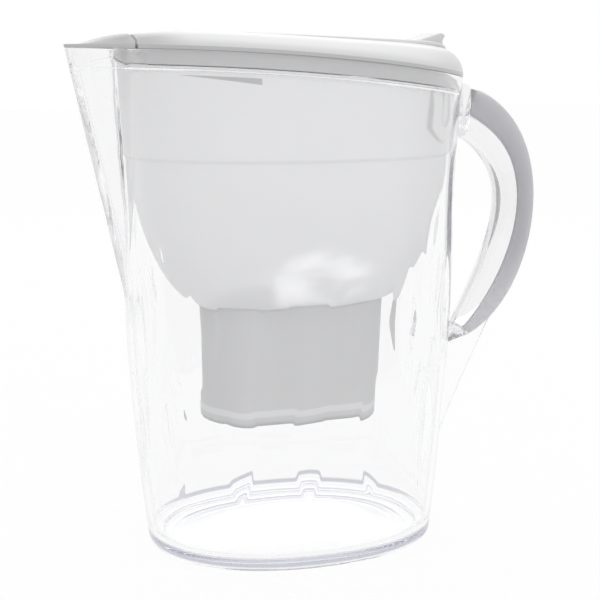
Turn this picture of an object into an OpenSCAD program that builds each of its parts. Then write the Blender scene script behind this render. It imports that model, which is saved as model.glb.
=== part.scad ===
/* [Jug] */
// Length of the oval rim, outside, at the height of the spout tip
jug_len = 195; // [180:1:205]
// Width of the oval rim, outside, at the height of the spout tip
jug_wid = 143; // [130:1:150]
// Length of the jug at its belly, outside
belly_len = 184.4; // [176:0.2:190]
// Width of the jug at its belly, outside
belly_wid = 138; // [126:1:142]
// Height of the belly above the table
belly_z = 165; // [150:1:180]
// Length of the base, outside
base_len = 161.2; // [150:0.2:172]
// Width of the base, outside
base_wid = 131; // [115:1:136]
// Wall thickness of the jug
jug_wall = 3.2; // [2.6:0.1:4]
// Wall thickness above the ledge that carries the funnel
rim_wall = 2; // [1.6:0.1:2.2]
// Depth of that ledge below the rim
ledge_drop = 9.5; // [9:0.5:12]
// Height of the inner floor
floor_z = 6; // [5:0.5:9]
// Height of the foot ring under the base
foot_h = 2.5; // [1:0.5:3]
// Width of the foot ring
foot_w = 7; // [5:0.5:12]
// Radius of the soft edge round the base
base_edge = 1.5; // [0.5:0.5:3]

/* [Spout] */
// Height of the spout tip
tip_z = 270.6; // [262:0.2:280]
// Distance of the spout tip from the middle of the oval
spout_reach = 120.5; // [114:0.5:128]
// Height at which the prow grows out of the wall
prow_foot_z = 137; // [120:1:160]
// Half angle between the two sides of the prow
prow_angle = 36.5; // [33:0.5:40]
// Softness of the nose of the prow
nose_soft = 5; // [3:0.5:8]
// Fall of the rim from the spout tip to the handle
rim_drop = 16.6; // [10:0.2:18]

/* [Handle] */
// Height of the upper root of the handle
handle_top_z = 253.2; // [250:0.2:253.4]
// Height of the finger gap's upper end at the jug
grip_top_z = 224.5; // [218:0.5:230]
// Height of the lower tip of the handle
handle_foot_z = 103.3; // [95:0.5:112]
// How far the handle bows out near its top
bow_top = 75.9; // [66:0.5:84]
// How far the handle bows out near its foot
bow_foot = 58.8; // [50:0.5:66]
// Width of the handle across the jug
handle_wid = 25; // [20:1:32]
// Side walls of the channel that holds the strip
channel_wall = 2.2; // [1.6:0.1:3]
// Gap round the handle strip
strip_gap = 0.3; // [0.2:0.05:0.5]
// Thickness of the fin below the handle
fin_thick = 4; // [3:0.5:6]
// Height of the fin's lower end
fin_foot_z = 16; // [12:1:30]

/* [Funnel] */
// Wall thickness of the funnel
funnel_wall = 1.8; // [1.4:0.1:2.2]
// Gap between funnel and jug
funnel_gap = 0.8; // [0.6:0.1:1.2]
// Thickness of the flange that hangs on the ledge
flange_thick = 1.5; // [1.2:0.1:2]
// Height of the step where the bowl begins
step_z = 214; // [205:1:222]
// Depth of that step
step_in = 1.6; // [1:0.1:2.4]
// Height of the top of the cartridge well
well_top_z = 135; // [128:1:140]
// Height of the underside of the well
well_z = 70; // [66:1:72]
// Length of the well at its top, outside
well_len = 106; // [104:0.5:112]
// Width of the well at its top, outside
well_wid = 60; // [58:0.5:66]
// Narrowing of the well from top to bottom
well_taper = 5.4; // [4:0.2:5.6]

/* [Lid] */
// Gap between pieces that lie on each other
seat_gap = 0.3; // [0.2:0.05:0.4]
// Height of the upright band along the lid's edge
band_h = 2.3; // [1.8:0.1:3]
// Height of the crest of the lid
crest_z = 279.5; // [276:0.1:286]
// Place of the crest along the lid, from the middle of the oval
crest_x = -62; // [-66:1:-50]
// Fall of the lid from the crest towards the handle, per millimetre
crest_slope = 0.053; // [0.045:0.001:0.06]
// Width of the rounded shoulder of the lid
shoulder = 18; // [14:1:20]
// Thickness of the lid's skin
lid_skin = 3.6; // [3.2:0.1:4.4]
// Thickness of the skirt inside the rim
skirt_thick = 2; // [1.4:0.1:2.2]
// Place of the seam between the spout flap and the lid
seam_x = -90; // [-92:0.5:-88]
// Width of the seam of the spout flap
seam_gap = 1.3; // [1.2:0.1:1.5]
// Thickness of the flap's skin and of the flip lid
panel_thick = 2; // [1.6:0.1:2.2]
// Length of the two wedge tabs inside the funnel mouth
tab_len = 37; // [30:1:40]

/* [Flip lid] */
// Distance from the middle of the oval to the flip lid's rear end
flip_reach = 88.5; // [86:0.5:89]
// Width of the flip lid
flip_wid = 100; // [90:1:104]
// Place of the flip lid's hinge line
hinge_x = -69; // [-71:0.5:-67]
// How far the flip lid stands above the lid at its rear end
flip_raise = 2; // [1:0.1:2.4]
// Gap round the flip lid
flip_gap = 0.5; // [0.4:0.1:0.8]
// Width of the ledge under the flip lid's edge
flip_ledge = 5; // [4:0.5:8]
// Length of the thumb tab
thumb_len = 19.5; // [15:0.5:22]
// Width of the thumb tab
thumb_wid = 26; // [20:1:32]
// Height of the thumb tab above the lid
thumb_h = 7.6; // [5:0.2:9]
// Softness of the thumb tab's crest
thumb_soft = 2.8; // [1:0.1:3]
// Depth of the hollow in the thumb tab's rear face
thumb_hollow = 1.5; // [0.5:0.1:2]

/* [Hinges] */
// Radius of both hinge pins
pin_r = 1.25; // [1:0.05:1.4]
// Running clearance of the pins in their bores
pin_fit = 0.05; // [0.03:0.01:0.08]
// Radius of the hinge knuckles
knuckle_r = 2.3; // [2.1:0.1:2.4]
// Depth of the pins' axes below the lid's surface
axis_depth = 2.8; // [2.6:0.1:3]
// Gap round a knuckle
knuckle_gap = 0.6; // [0.5:0.1:0.8]
// Width of the flap's knuckle
flap_knuckle = 13.4; // [10:0.2:16]
// Width of an ear beside the flap's knuckle
ear_wid = 4; // [3:0.1:5]
// Place of each flip lid lug, measured from the middle
lug_y = 18.5; // [14:0.5:20]
// Width of each flip lid lug
lug_wid = 5; // [4:0.5:7]

/* [Cartridge] */
// Gap between the cartridge and the well
cartridge_gap = 0.6; // [0.5:0.1:1]
// Wall thickness of the cartridge
cartridge_wall = 1.6; // [1.2:0.1:2]
// Height of the cartridge's housing
housing_h = 60; // [56:1:64]
// Height of the collar that carries the seal
collar_h = 7; // [6:0.5:9]
// Height of the cap's dome
cap_h = 15; // [12:1:18]
// Width of each slot in the cap and the housing's floor
slot_wid = 2; // [1.4:0.1:2.6]
// Thickness of the two screens
screen_thick = 1; // [0.6:0.1:1.2]
// Headroom above the granule bed
bed_headroom = 9; // [5:1:14]
// Radius of the pull loop's rod
loop_rod = 1.4; // [1.2:0.1:1.8]
// Outer width of the pull loop, to the middle of its rod
loop_wid = 20; // [16:1:24]
// Length of the pull loop's straight legs
loop_leg = 20; // [14:1:24]

/* [Change reminder] */
// Place of the reminder along the flip lid
reminder_x = 45; // [35:1:50]
// Half length of the reminder's case
case_half_len = 17; // [15:0.5:20]
// Half width of the reminder's case
case_half_wid = 11; // [10:0.5:13]
// Depth of the reminder's case
case_depth = 8.4; // [8:0.2:10]
// Wall thickness of the reminder's case
case_wall = 1.2; // [1:0.1:1.5]
// Radius of the reminder's window
window_r = 5.6; // [4.5:0.1:6]
// Radius of the reminder's button
button_r = 4.2; // [3.5:0.1:4.5]
// How far the button stands proud
button_proud = 0.5; // [0.3:0.1:0.6]

/* [Hidden] */
$fn = 64;
far = 400;
sliver = 0.01;
oval_power = 2.2;
crease_blend = 2;
outline_steps = 80;

clear_plastic = [0.92, 0.95, 0.98, 0.35];
milky_plastic = [0.90, 0.91, 0.92, 0.8];
white_plastic = [0.93, 0.93, 0.92];
grey_plastic = [0.72, 0.72, 0.74];

function mix(a, b, t) = a + (b - a) * t;
function clamp(t) = min(1, max(0, t));
// Larger of two radii, with a small fillet where they cross
function join(a, b) = max(a, b) + pow(max(crease_blend - abs(a - b), 0), 2) / (4 * crease_blend);
function bezier(p, t) = pow(1 - t, 3) * p[0] + 3 * pow(1 - t, 2) * t * p[1]
    + 3 * (1 - t) * t * t * p[2] + pow(t, 3) * p[3];

// Half size of the oval at a height: it swells from base to belly and flares again to the rim
function half_at(z, base, belly, rim) = 0.5 * (z < belly_z
    ? belly - (belly - base) * pow(1 - max(z, 0) / belly_z, 1.8)
    : belly + (rim - belly) * pow((z - belly_z) / (tip_z - belly_z), 2));
function half_len(z) = half_at(z, base_len, belly_len, jug_len);
function half_wid(z) = half_at(z, base_wid, belly_wid, jug_wid);
function superellipse(phi, a, b) = pow(pow(abs(cos(phi)) / a, oval_power)
    + pow(abs(sin(phi)) / b, oval_power), -1 / oval_power);
function oval_r(phi, z, inset) = superellipse(phi, half_len(z) - inset, half_wid(z) - inset);

// The prow is a wedge with a soft nose, and its nose line is straight from foot to tip
function nose_x(z) = mix(half_len(prow_foot_z), spout_reach, (z - prow_foot_z) / (tip_z - prow_foot_z));
function prow_r(phi, nose) =
    let (c = -cos(phi), s = sin(phi) / tan(prow_angle), f = nose + nose_soft,
         g = f * f - nose_soft * nose_soft)
    c < 0.76 ? 0 : g / (f * c + sqrt(max(0, f * f * c * c - (c * c - s * s) * g)));
function jug_r(phi, z, inset) =
    join(oval_r(phi, z, inset), prow_r(phi, nose_x(z) - inset / sin(prow_angle)));

// Bearings round the oval, closer together at the nose
bearings = [for (i = [0 : outline_steps - 1]) let (t = 2 * i / outline_steps - 1)
    180 * (1 + sign(t) * pow(abs(t), 1.5))];
function rim_z(x) = tip_z - rim_drop * pow((x + spout_reach) / (spout_reach + jug_len / 2), 2);

// Rings of points: level, or following the rim some way below it, with or without the prow
function level_ring(z, inset) = [for (p = bearings) let (r = jug_r(p, z, inset))
    [r * cos(p), r * sin(p), z]];
function rim_ring(drop, inset) = [for (p = bearings)
    let (x = cos(p) * jug_r(p, tip_z - drop, inset), r = jug_r(p, rim_z(x) - drop, inset))
    [r * cos(p), r * sin(p), rim_z(r * cos(p)) - drop]];
function oval_ring(z, inset) = [for (p = bearings) let (r = oval_r(p, z, inset))
    [r * cos(p), r * sin(p), z]];
function oval_rim_ring(drop, inset) = [for (p = bearings)
    let (x = cos(p) * oval_r(p, tip_z - drop, inset), r = oval_r(p, rim_z(x) - drop, inset))
    [r * cos(p), r * sin(p), rim_z(r * cos(p)) - drop]];

// A closed solid through rings of equal length, each end closed by a fan about its middle
module skin(rings) {
    m = len(rings[0]);
    last = len(rings) - 1;
    points = [each [for (ring = rings) each ring], centre_of(rings[0]), centre_of(rings[last])];
    sides = [for (i = [0 : last - 1], j = [0 : m - 1])
        let (a = i * m + j, b = i * m + (j + 1) % m)
        each [[a, a + m, b + m], [a, b + m, b]]];
    ends = [for (j = [0 : m - 1]) let (k = (j + 1) % m)
        each [[(last + 1) * m, j, k], [(last + 1) * m + 1, last * m + k, last * m + j]]];
    polyhedron(points = points, faces = concat(sides, ends), convexity = 6);
}
function centre_of(ring) = [for (k = [0 : 2]) [for (p = ring) p[k]] * [for (p = ring) 1 / len(ring)]];

// An oblong plate with round ends
module oblong(half_l, half_w, h) {
    linear_extrude(h) {
        square([2 * (half_l - half_w), 2 * half_w], center = true);
        for (side = [-1, 1])
            translate([side * (half_l - half_w), 0]) circle(half_w);
    }
}

// ---------- jug ----------
wall_levels = [for (z = [16 : 20 : 236]) z];

module jug_block() {
    skin([level_ring(0, base_edge), level_ring(base_edge, 0),
          each [for (z = wall_levels) level_ring(z, 0)], rim_ring(0, 0)]);
}
module jug_cavity() {
    skin([level_ring(floor_z, jug_wall + 4), level_ring(floor_z + 1.2, jug_wall + 1.2),
          level_ring(floor_z + 4, jug_wall), each [for (z = wall_levels) level_ring(z, jug_wall)],
          rim_ring(ledge_drop, jug_wall), rim_ring(ledge_drop - sliver, rim_wall),
          rim_ring(-5, rim_wall)]);
}

handle_root_x = jug_len / 2 - 0.5;
outer_path = [[handle_root_x, handle_top_z], [handle_root_x + bow_top, handle_top_z - 10],
              [handle_root_x + bow_foot, handle_foot_z + 5.5], [handle_root_x - 1.4, handle_foot_z]];
inner_path = [[handle_root_x, grip_top_z], [handle_root_x + bow_top - 22.4, grip_top_z - 27.3],
              [handle_root_x + bow_foot - 37.1, handle_foot_z + 51.6],
              [handle_root_x - 1.4, handle_foot_z + 1]];
handle_steps = 26;
// Section of the handle: a soft rectangle between two depths, from the palm side outwards
function handle_ring(t, low, high, wide, soft) =
    let (i = bezier(inner_path, clamp(t)), o = bezier(outer_path, clamp(t)),
         root = 10 * (min(t, 0) - max(t - 1, 0)),
         w = wide * mix(1, 0.45, pow(clamp(t), 3)))
    [for (k = [0 : 19]) let (c = cos(18 * k), s = sin(18 * k),
        depth = mix(low, high, 0.5 + 0.5 * sign(c) * pow(abs(c), soft)),
        q = mix(i, o, depth))
        [q[0] + root, -w * sign(s) * pow(abs(s), soft), q[1]]];
module handle_bar(first, last, low, high, wide, soft = 0.62) {
    skin([for (n = [0 : handle_steps])
        handle_ring(mix(first, last, n / handle_steps), low, high, wide, soft)]);
}
// The strip and its channel: open on the outside down to one share of the bow, then a tongue in a pocket
tongue_steps = 6;
module strip_bar(first, step, last, low, high, tongue_high, wide, tongue_wide, soft) {
    skin([each [for (n = [0 : handle_steps])
              handle_ring(mix(first, step, n / handle_steps), low, high, wide, soft)],
          each [for (n = [0 : tongue_steps])
              handle_ring(mix(step + 0.003, last, n / tongue_steps), low, tongue_high, tongue_wide, soft)]]);
}
fin_edge = [[handle_root_x + 27.1, handle_foot_z + 14.5], [handle_root_x + 15.6, handle_foot_z - 11.6],
            [handle_root_x - 5, handle_foot_z - 47], [half_len(fin_foot_z) - 0.5, fin_foot_z]];
module fin() {
    rotate([90, 0, 0]) linear_extrude(fin_thick, center = true)
        polygon([each [for (n = [0 : 16]) bezier(fin_edge, n / 16)],
                 each [for (z = [fin_foot_z : 8 : handle_foot_z]) [half_len(z) - 1.5, z]],
                 [half_len(handle_foot_z) - 1.5, handle_foot_z + 0.5],
                 bezier(outer_path, 0.9) + [-1, 2], bezier(outer_path, 0.8) + [-4, 3]]);
}
channel_half = handle_wid / 2 - channel_wall;
module jug() {
    color(clear_plastic) difference() {
        union() {
            jug_block();
            difference() {
                union() {
                    handle_bar(-0.8, 1.7, 0, 1, handle_wid / 2);
                    fin();
                }
                strip_bar(0.028, 0.8, 0.955, 0.44, 1.6, 0.84, channel_half, channel_half, 0.3);
            }
        }
        jug_cavity();
        skin([level_ring(-1, foot_w), level_ring(foot_h, foot_w + 1)]);
    }
}
module handle_strip() {
    color(grey_plastic)
        strip_bar(0.04, 0.785, 0.94, 0.48, 1, 0.8, channel_half - strip_gap,
                  channel_half - 2 * strip_gap, 0.62);
}

// ---------- funnel ----------
body_inset = jug_wall + funnel_gap;
flange_inset = rim_wall + 0.5;
flange_drop = ledge_drop - seat_gap;
flange_top_drop = flange_drop - flange_thick;
function oblong_r(phi, half_l, half_w) = let (e = half_l - half_w, s = abs(sin(phi)), c = abs(cos(phi)))
    s * e > c * half_w ? half_w / s : e * c + sqrt(half_w * half_w - e * e * s * s);
function well_r(phi, z, inset) = let (n = well_taper / 2 * (well_top_z - z) / (well_top_z - well_z))
    oblong_r(phi, well_len / 2 - n - inset, well_wid / 2 - n * 0.6 - inset);
function well_ring(z, inset) = [for (p = bearings) let (r = well_r(p, z, inset)) [r * cos(p), r * sin(p), z]];
// The bowl swells from the well's oblong to the jug's oval; t runs from its top (0) to its foot (1)
function bowl_ring(t, inset) = let (f = pow(1 - pow(t, 1.7), 0.6))
    [for (p = bearings) let (
        r = mix(well_r(p, well_top_z, 0), oval_r(p, step_z, body_inset + step_in), f) - inset * (1 - t),
        z = mix(step_z, well_top_z, t) + inset * t)
        [r * cos(p), r * sin(p), z]];
bowl_stations = [for (n = [11 : -1 : 0]) 1 - pow(1 - n / 12, 1.6)];

module funnel() {
    color(milky_plastic) difference() {
        skin([well_ring(well_z, 2), well_ring(well_z + 2, 0), well_ring(well_top_z, 0),
              each [for (t = bowl_stations) bowl_ring(t, 0)],
              oval_ring(step_z + 2, body_inset), oval_ring(step_z + 14, body_inset),
              oval_rim_ring(flange_drop + 3, body_inset), oval_rim_ring(flange_drop, body_inset),
              oval_rim_ring(flange_drop - sliver, flange_inset),
              oval_rim_ring(flange_top_drop, flange_inset)]);
        skin([well_ring(well_z + funnel_wall, funnel_wall), well_ring(well_top_z + funnel_wall, funnel_wall),
              each [for (t = bowl_stations) bowl_ring(t, funnel_wall)],
              oval_ring(step_z + 2, body_inset + funnel_wall),
              oval_ring(step_z + 14, body_inset + funnel_wall),
              oval_rim_ring(flange_drop, body_inset + funnel_wall),
              oval_rim_ring(flange_top_drop - 5, body_inset + funnel_wall)]);
        translate([0, 0, well_z - 1])
            oblong(well_len / 2 - 12, well_wid / 2 - 9, funnel_wall + 2);
    }
}

// ---------- lid ----------
function edge_at(phi) = let (x = cos(phi) * jug_r(phi, tip_z, 0)) jug_r(phi, rim_z(x), 0);
lid_edge = [for (p = bearings) edge_at(p)];
function lid_crest(x) = x < crest_x
    ? crest_z - (crest_z - tip_z) * pow((crest_x - x) / (crest_x + spout_reach), 2)
    : crest_z - crest_slope * (x - crest_x);
function round_up(u) = sqrt(1 - pow(1 - clamp(u), 2));
// Height of the lid's surface at a place along it and a distance inside its edge
function lid_z(x, inside) = let (foot = rim_z(x) + band_h)
    foot + max(0, lid_crest(x) - foot) * round_up(inside / shoulder);
function lid_ring(radii, lift) = [for (i = [0 : outline_steps - 1])
    let (p = bearings[i], r = radii[i], x = r * cos(p))
    [x, r * sin(p), lid_z(x, lid_edge[i] - r) + lift]];
function edge_less(d) = [for (r = lid_edge) r - d];
// The flip lid's own outline has bearings of its own, and rises towards the rear
flip_steps = 66;
flip_bearings = [for (i = [0 : flip_steps - 1]) 360 * (i + 0.5) / flip_steps];
flip_rim = [for (p = flip_bearings) edge_at(p)];
function flip_lift(x) = flip_raise * clamp((x + 60) / 129);
function flip_edge(grow) = [for (p = flip_bearings) superellipse(p, flip_reach + grow, flip_wid / 2 + grow)];
function raised_ring(radii, lift) = [for (i = [0 : flip_steps - 1])
    let (p = flip_bearings[i], r = radii[i], x = r * cos(p))
    [x, r * sin(p), lid_z(x, flip_rim[i] - r) + flip_lift(x) + lift]];
shoulder_steps = [0.25, 0.9, 2, 3.6, 6, 9, 12.5];

module lid_block() {
    skin([rim_ring(-seat_gap, 0), rim_ring(-band_h, 0),
          each [for (d = shoulder_steps) lid_ring(edge_less(d), 0)],
          each [for (s = [0.82, 0.6, 0.36, 0.14]) lid_ring(s * lid_edge, 0)]]);
}
module skirt_block() {
    skin([oval_rim_ring(flange_top_drop - seat_gap, flange_inset), oval_rim_ring(-0.8, flange_inset)]);
}
skirt_inset = flange_inset + skirt_thick;
skirt_inner = [for (p = bearings) let (x = cos(p) * oval_r(p, tip_z, skirt_inset))
    oval_r(p, rim_z(x), skirt_inset)];
module lid_hollow() {
    skin([oval_rim_ring(flange_top_drop + 5, skirt_inset), lid_ring(skirt_inner, -lid_skin),
          each [for (d = [1.5, 4, 8]) lid_ring([for (r = skirt_inner) r - d], -lid_skin)],
          each [for (s = [0.82, 0.6, 0.36, 0.14]) lid_ring(s * skirt_inner, -lid_skin)]]);
}
// Solid above a surface that follows the flip lid, sunk by some depth
module flip_space(grow, sink) {
    edge = flip_edge(grow);
    skin([each [for (s = [0.14, 0.4, 0.7, 0.9, 1]) raised_ring(s * edge, -sink)],
          each [for (s = [1, 0.1]) [for (q = raised_ring(s * edge, 0)) [q[0], q[1], crest_z + 12]]]]);
}
seam_front = seam_x + seam_gap;
flap_axis = [seam_x + 2.9, lid_crest(seam_x + 2.9) - axis_depth];
flip_axis = [hinge_x, lid_crest(hinge_x) - axis_depth];
hinge_edge = hinge_x - knuckle_r - knuckle_gap - 0.3;
barrel_half = 31.5;
// Cuts the panel's two front corners, which would swing into the cover beyond the barrel
corner_cut = 4.6;
bore_r = pin_r + pin_fit;
flap_pin_len = flap_knuckle + 2 * (seat_gap + ear_wid) - 1.4;
module along_hinge(axis, r, w, y = 0) {
    translate([axis[0], y, axis[1]]) rotate([90, 0, 0]) cylinder(r = r, h = w, center = true);
}
// One wedge tab that hangs inside the funnel's mouth and guides the lid
tab_inset = body_inset + funnel_wall + 0.4;
module wedge_tab() {
    steps = 8;
    skin([for (n = [0 : steps]) let (x = -71 + tab_len * n / steps, drop = mix(11.5, 14, n / steps))
        [for (corner = [[tab_inset, drop], [tab_inset + 1.6, drop], [tab_inset + 1.6, -7], [tab_inset, -7]])
            let (z = rim_z(x) - corner[1], a = half_len(z) - corner[0], b = half_wid(z) - corner[0])
            [x, -b * pow(1 - pow(abs(x) / a, oval_power), 1 / oval_power), z]]]);
}
module lid_frame() {
    ear_y = flap_knuckle / 2 + seat_gap + ear_wid / 2;
    color(white_plastic) difference() {
        union() {
            difference() {
                union() {
                    lid_block();
                    skirt_block();
                }
                lid_hollow();
                translate([seam_front - far, -far / 2, rim_z(seam_x - 8)]) cube(far);
                difference() {
                    flip_space(flip_gap, panel_thick + seat_gap);
                    translate([hinge_edge - far, -far / 2, 0]) cube(far);
                }
                difference() {
                    flip_space(-flip_ledge, far / 4);
                    translate([hinge_edge - far, -far / 2, 0]) cube(far);
                }
                along_hinge(flip_axis, knuckle_r + knuckle_gap, 2 * barrel_half + 1);
            }
            for (side = [-1, 1]) {
                along_hinge(flap_axis, knuckle_r, ear_wid, side * ear_y);
                translate([0, side * lug_y, 0]) lug(flip_axis, lug_wid);
            }
            wedge_tab();
            mirror([0, 1, 0]) wedge_tab();
        }
        along_hinge(flap_axis, bore_r, flap_pin_len + 0.4);
        along_hinge(flip_axis, bore_r, 2 * barrel_half);
        translate([seam_x - 1, -flap_knuckle / 2 - seat_gap, flap_axis[1] - knuckle_r - knuckle_gap])
            cube([2.9 + 1 + knuckle_r + knuckle_gap, flap_knuckle + 2 * seat_gap, 20]);
    }
}
// A lug that reaches back over the hinge trough
module lug(axis, w) {
    along_hinge(axis, knuckle_r, w);
    translate([axis[0] - 7, -w / 2, axis[1] - knuckle_r]) cube([7, w, 2 * knuckle_r]);
}
panel_shares = [0.14, 0.36, 0.6, 0.8, 0.92, 1];
module flip_lid() {
    color(white_plastic) difference() {
        union() {
            difference() {
                skin([each [for (s = panel_shares) raised_ring(s * flip_edge(0), -panel_thick)],
                      each [for (n = [5 : -1 : 0]) raised_ring(panel_shares[n] * flip_edge(0), 0)]]);
                translate([hinge_x - far, -far / 2, 0]) cube(far);
                for (side = [0, 1]) mirror([0, side, 0])
                    translate([hinge_x + corner_cut - far, barrel_half - 0.2, 0]) cube(far);
            }
            along_hinge(flip_axis, knuckle_r, 2 * barrel_half);
            thumb_tab();
        }
        for (side = [-1, 1])
            translate([hinge_x - 4, side * lug_y - lug_wid / 2 - seat_gap, flip_axis[1] - 6])
                cube([4 + knuckle_r + knuckle_gap, lug_wid + 2 * seat_gap, 12]);
        along_hinge(flip_axis, bore_r, 2 * barrel_half + 1);
        on_flip() {
            translate([0, 0, -9]) oblong(case_half_len + 0.25, case_half_wid + 0.25, 20);
            translate([0, 0, -1 - seat_gap]) oblong(case_half_len + 1.85, case_half_wid + 1.85, 20);
        }
    }
}
// The thumb tab: a wedge that rises to the rear, with a soft crest and a hollow rear face
module thumb_tab() {
    rear = flip_reach - 0.4;
    front = rear - thumb_len;
    foot = lid_crest(rear) - 1.2;
    top = lid_crest(rear) + thumb_h;
    crest = [for (a = [0 : 15 : 90])
        [rear - thumb_soft * (1 - sin(a)), top - 0.6 * thumb_soft * (1 - cos(a))]];
    hollow = [for (a = [-60 : 20 : 60])
        [rear - thumb_hollow * cos(1.5 * a), mix(top - 0.6 * thumb_soft, foot + 1.5, (a + 60) / 120)]];
    intersection() {
        rotate([90, 0, 0]) linear_extrude(thumb_wid, center = true)
            polygon([[front, lid_crest(front) + flip_lift(front)], each crest, each hollow,
                     [rear, foot], [rear - 6, lid_crest(rear - 6) + 1], [front, lid_crest(front) + 1]]);
        translate([rear - 40, 0, 0]) cylinder(r = 40.4, h = far);
    }
}
module spout_flap() {
    color(white_plastic) difference() {
        union() {
            difference() {
                lid_block();
                skin([rim_ring(5, panel_thick),
                      each [for (s = [0, 0.022, 0.078, 0.19, 0.33, 0.5, 0.69])
                          lid_ring(edge_less(panel_thick + s * shoulder), -panel_thick)],
                      each [for (s = [0.8, 0.6, 0.36, 0.14]) lid_ring(s * lid_edge, -panel_thick)]]);
                translate([seam_x, -far / 2, 0]) cube(far);
            }
            along_hinge(flap_axis, knuckle_r, flap_knuckle);
            translate([seam_x - 1, -flap_knuckle / 2, flap_axis[1] - 1.4])
                cube([3.9, flap_knuckle, knuckle_r + 1.2]);
        }
        along_hinge(flap_axis, bore_r, flap_knuckle + 1);
    }
}
module flap_hinge_pin() {
    color(grey_plastic) along_hinge(flap_axis, pin_r, flap_pin_len);
}
module flip_hinge_pin() {
    color(grey_plastic) along_hinge(flip_axis, pin_r, 2 * barrel_half);
}

// ---------- cartridge ----------
housing_z = well_z + funnel_wall + seat_gap;
housing_half_len = (well_len - well_taper) / 2 - funnel_wall - cartridge_gap;
housing_half_wid = well_wid / 2 - 0.3 * well_taper - funnel_wall - cartridge_gap;
housing_top = housing_z + housing_h;
inner_half_len = housing_half_len - cartridge_wall;
inner_half_wid = housing_half_wid - cartridge_wall;
collar_out = 1.1;
seal_h = 2.5;
seal_out = 1.6;
seal_z = housing_top - collar_h / 2 - seal_h / 2;
cap_z = housing_top + seat_gap;
cap_plate = 2;
cap_top = cap_z + cap_plate + cap_h;
screen_z = housing_z + cartridge_wall + seat_gap;
bed_z = screen_z + screen_thick + seat_gap;
bed_top = housing_top - bed_headroom;

module floor_slots(count, span, half_w, h) {
    for (n = [0 : count - 1])
        translate([mix(-span, span, n / (count - 1)) - slot_wid / 2, -half_w, 0])
            cube([slot_wid, 2 * half_w, h]);
}
module cartridge_housing() {
    color(white_plastic) difference() {
        union() {
            translate([0, 0, housing_z]) oblong(housing_half_len, housing_half_wid, housing_h);
            translate([0, 0, housing_top - collar_h])
                oblong(housing_half_len + collar_out, housing_half_wid + collar_out, collar_h);
        }
        translate([0, 0, housing_z + cartridge_wall]) oblong(inner_half_len, inner_half_wid, housing_h);
        translate([0, 0, housing_z - 1]) floor_slots(9, inner_half_len - 12, inner_half_wid - 7, 4);
        translate([0, 0, seal_z]) difference() {
            oblong(housing_half_len + 4, housing_half_wid + 4, seal_h);
            translate([0, 0, -1]) oblong(housing_half_len + 0.6, housing_half_wid + 0.6, seal_h + 2);
        }
    }
}
module cartridge_seal() {
    color(grey_plastic) translate([0, 0, seal_z + 0.1]) difference() {
        oblong(housing_half_len + seal_out, housing_half_wid + seal_out, seal_h - 0.2);
        translate([0, 0, -1]) oblong(housing_half_len + 0.7, housing_half_wid + 0.7, seal_h + 2);
    }
}
module cap_dome(grow, lift) {
    hull() {
        translate([0, 0, lift])
            oblong(housing_half_len - 3 + grow, housing_half_wid - 3 + grow, 0.5, $fn = 32);
        translate([0, 0, cap_h * 0.6 + lift])
            oblong(housing_half_len - 8 + grow, housing_half_wid - 7 + grow, 0.5, $fn = 32);
        translate([0, 0, cap_h - 0.5 + lift])
            oblong(housing_half_len - 18 + grow, housing_half_wid - 14 + grow, 0.5, $fn = 32);
    }
}
loop_axis = [-loop_leg / 2 - 4, cap_top + loop_rod + seat_gap];
loop_pin_r = 1.2;
loop_ear = 2.4;
module cartridge_cap() {
    ear_y = loop_wid / 2 + 3.2;
    color(white_plastic) difference() {
        union() {
            translate([0, 0, cap_z])
                oblong(housing_half_len + collar_out, housing_half_wid + collar_out, cap_plate);
            translate([0, 0, cap_z + cap_plate]) cap_dome(0, 0);
            for (side = [-1, 1]) {
                along_hinge(loop_axis, loop_ear, 2.4, side * ear_y);
                translate([loop_axis[0] - loop_ear, side * ear_y - 1.2, cap_top - 7])
                    cube([2 * loop_ear, 2.4, loop_axis[1] - cap_top + 7]);
            }
        }
        translate([0, 0, cap_z - 0.01]) intersection() {
            cap_dome(-cartridge_wall, cap_plate - cartridge_wall);
            translate([0, 0, far / 2]) cube(far, center = true);
        }
        translate([0, 0, cap_z - 1]) oblong(housing_half_len - 5, housing_half_wid - 5, cap_plate + 1.2);
        translate([12, 0, cap_z + cap_plate + cap_h * 0.35]) floor_slots(7, 18, far / 8, cap_h * 0.22);
        along_hinge(loop_axis, loop_pin_r + pin_fit, loop_wid + 12);
    }
}
module pull_loop() {
    color(white_plastic) {
        for (side = [-1, 1]) translate([loop_axis[0], side * loop_wid / 2, loop_axis[1]]) {
            rotate([0, 90, 0]) cylinder(r = loop_rod, h = loop_leg);
            sphere(loop_rod);
            rotate([-90 * side, 0, 0]) cylinder(r = loop_pin_r, h = 4);
        }
        translate([loop_axis[0] + loop_leg, 0, loop_axis[1]]) rotate([0, 0, -90])
            rotate_extrude(angle = 180) translate([loop_wid / 2, 0]) circle(loop_rod, $fn = 32);
    }
}
module inlet_screen() {
    color(grey_plastic) translate([0, 0, bed_top + seat_gap])
        oblong(inner_half_len - seat_gap, inner_half_wid - seat_gap, screen_thick);
}
module outlet_screen() {
    color(grey_plastic) translate([0, 0, screen_z])
        oblong(inner_half_len - seat_gap, inner_half_wid - seat_gap, screen_thick);
}
module granule_bed() {
    color([0.16, 0.15, 0.14]) translate([0, 0, bed_z])
        oblong(inner_half_len - seat_gap, inner_half_wid - seat_gap, bed_top - bed_z);
}

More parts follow.
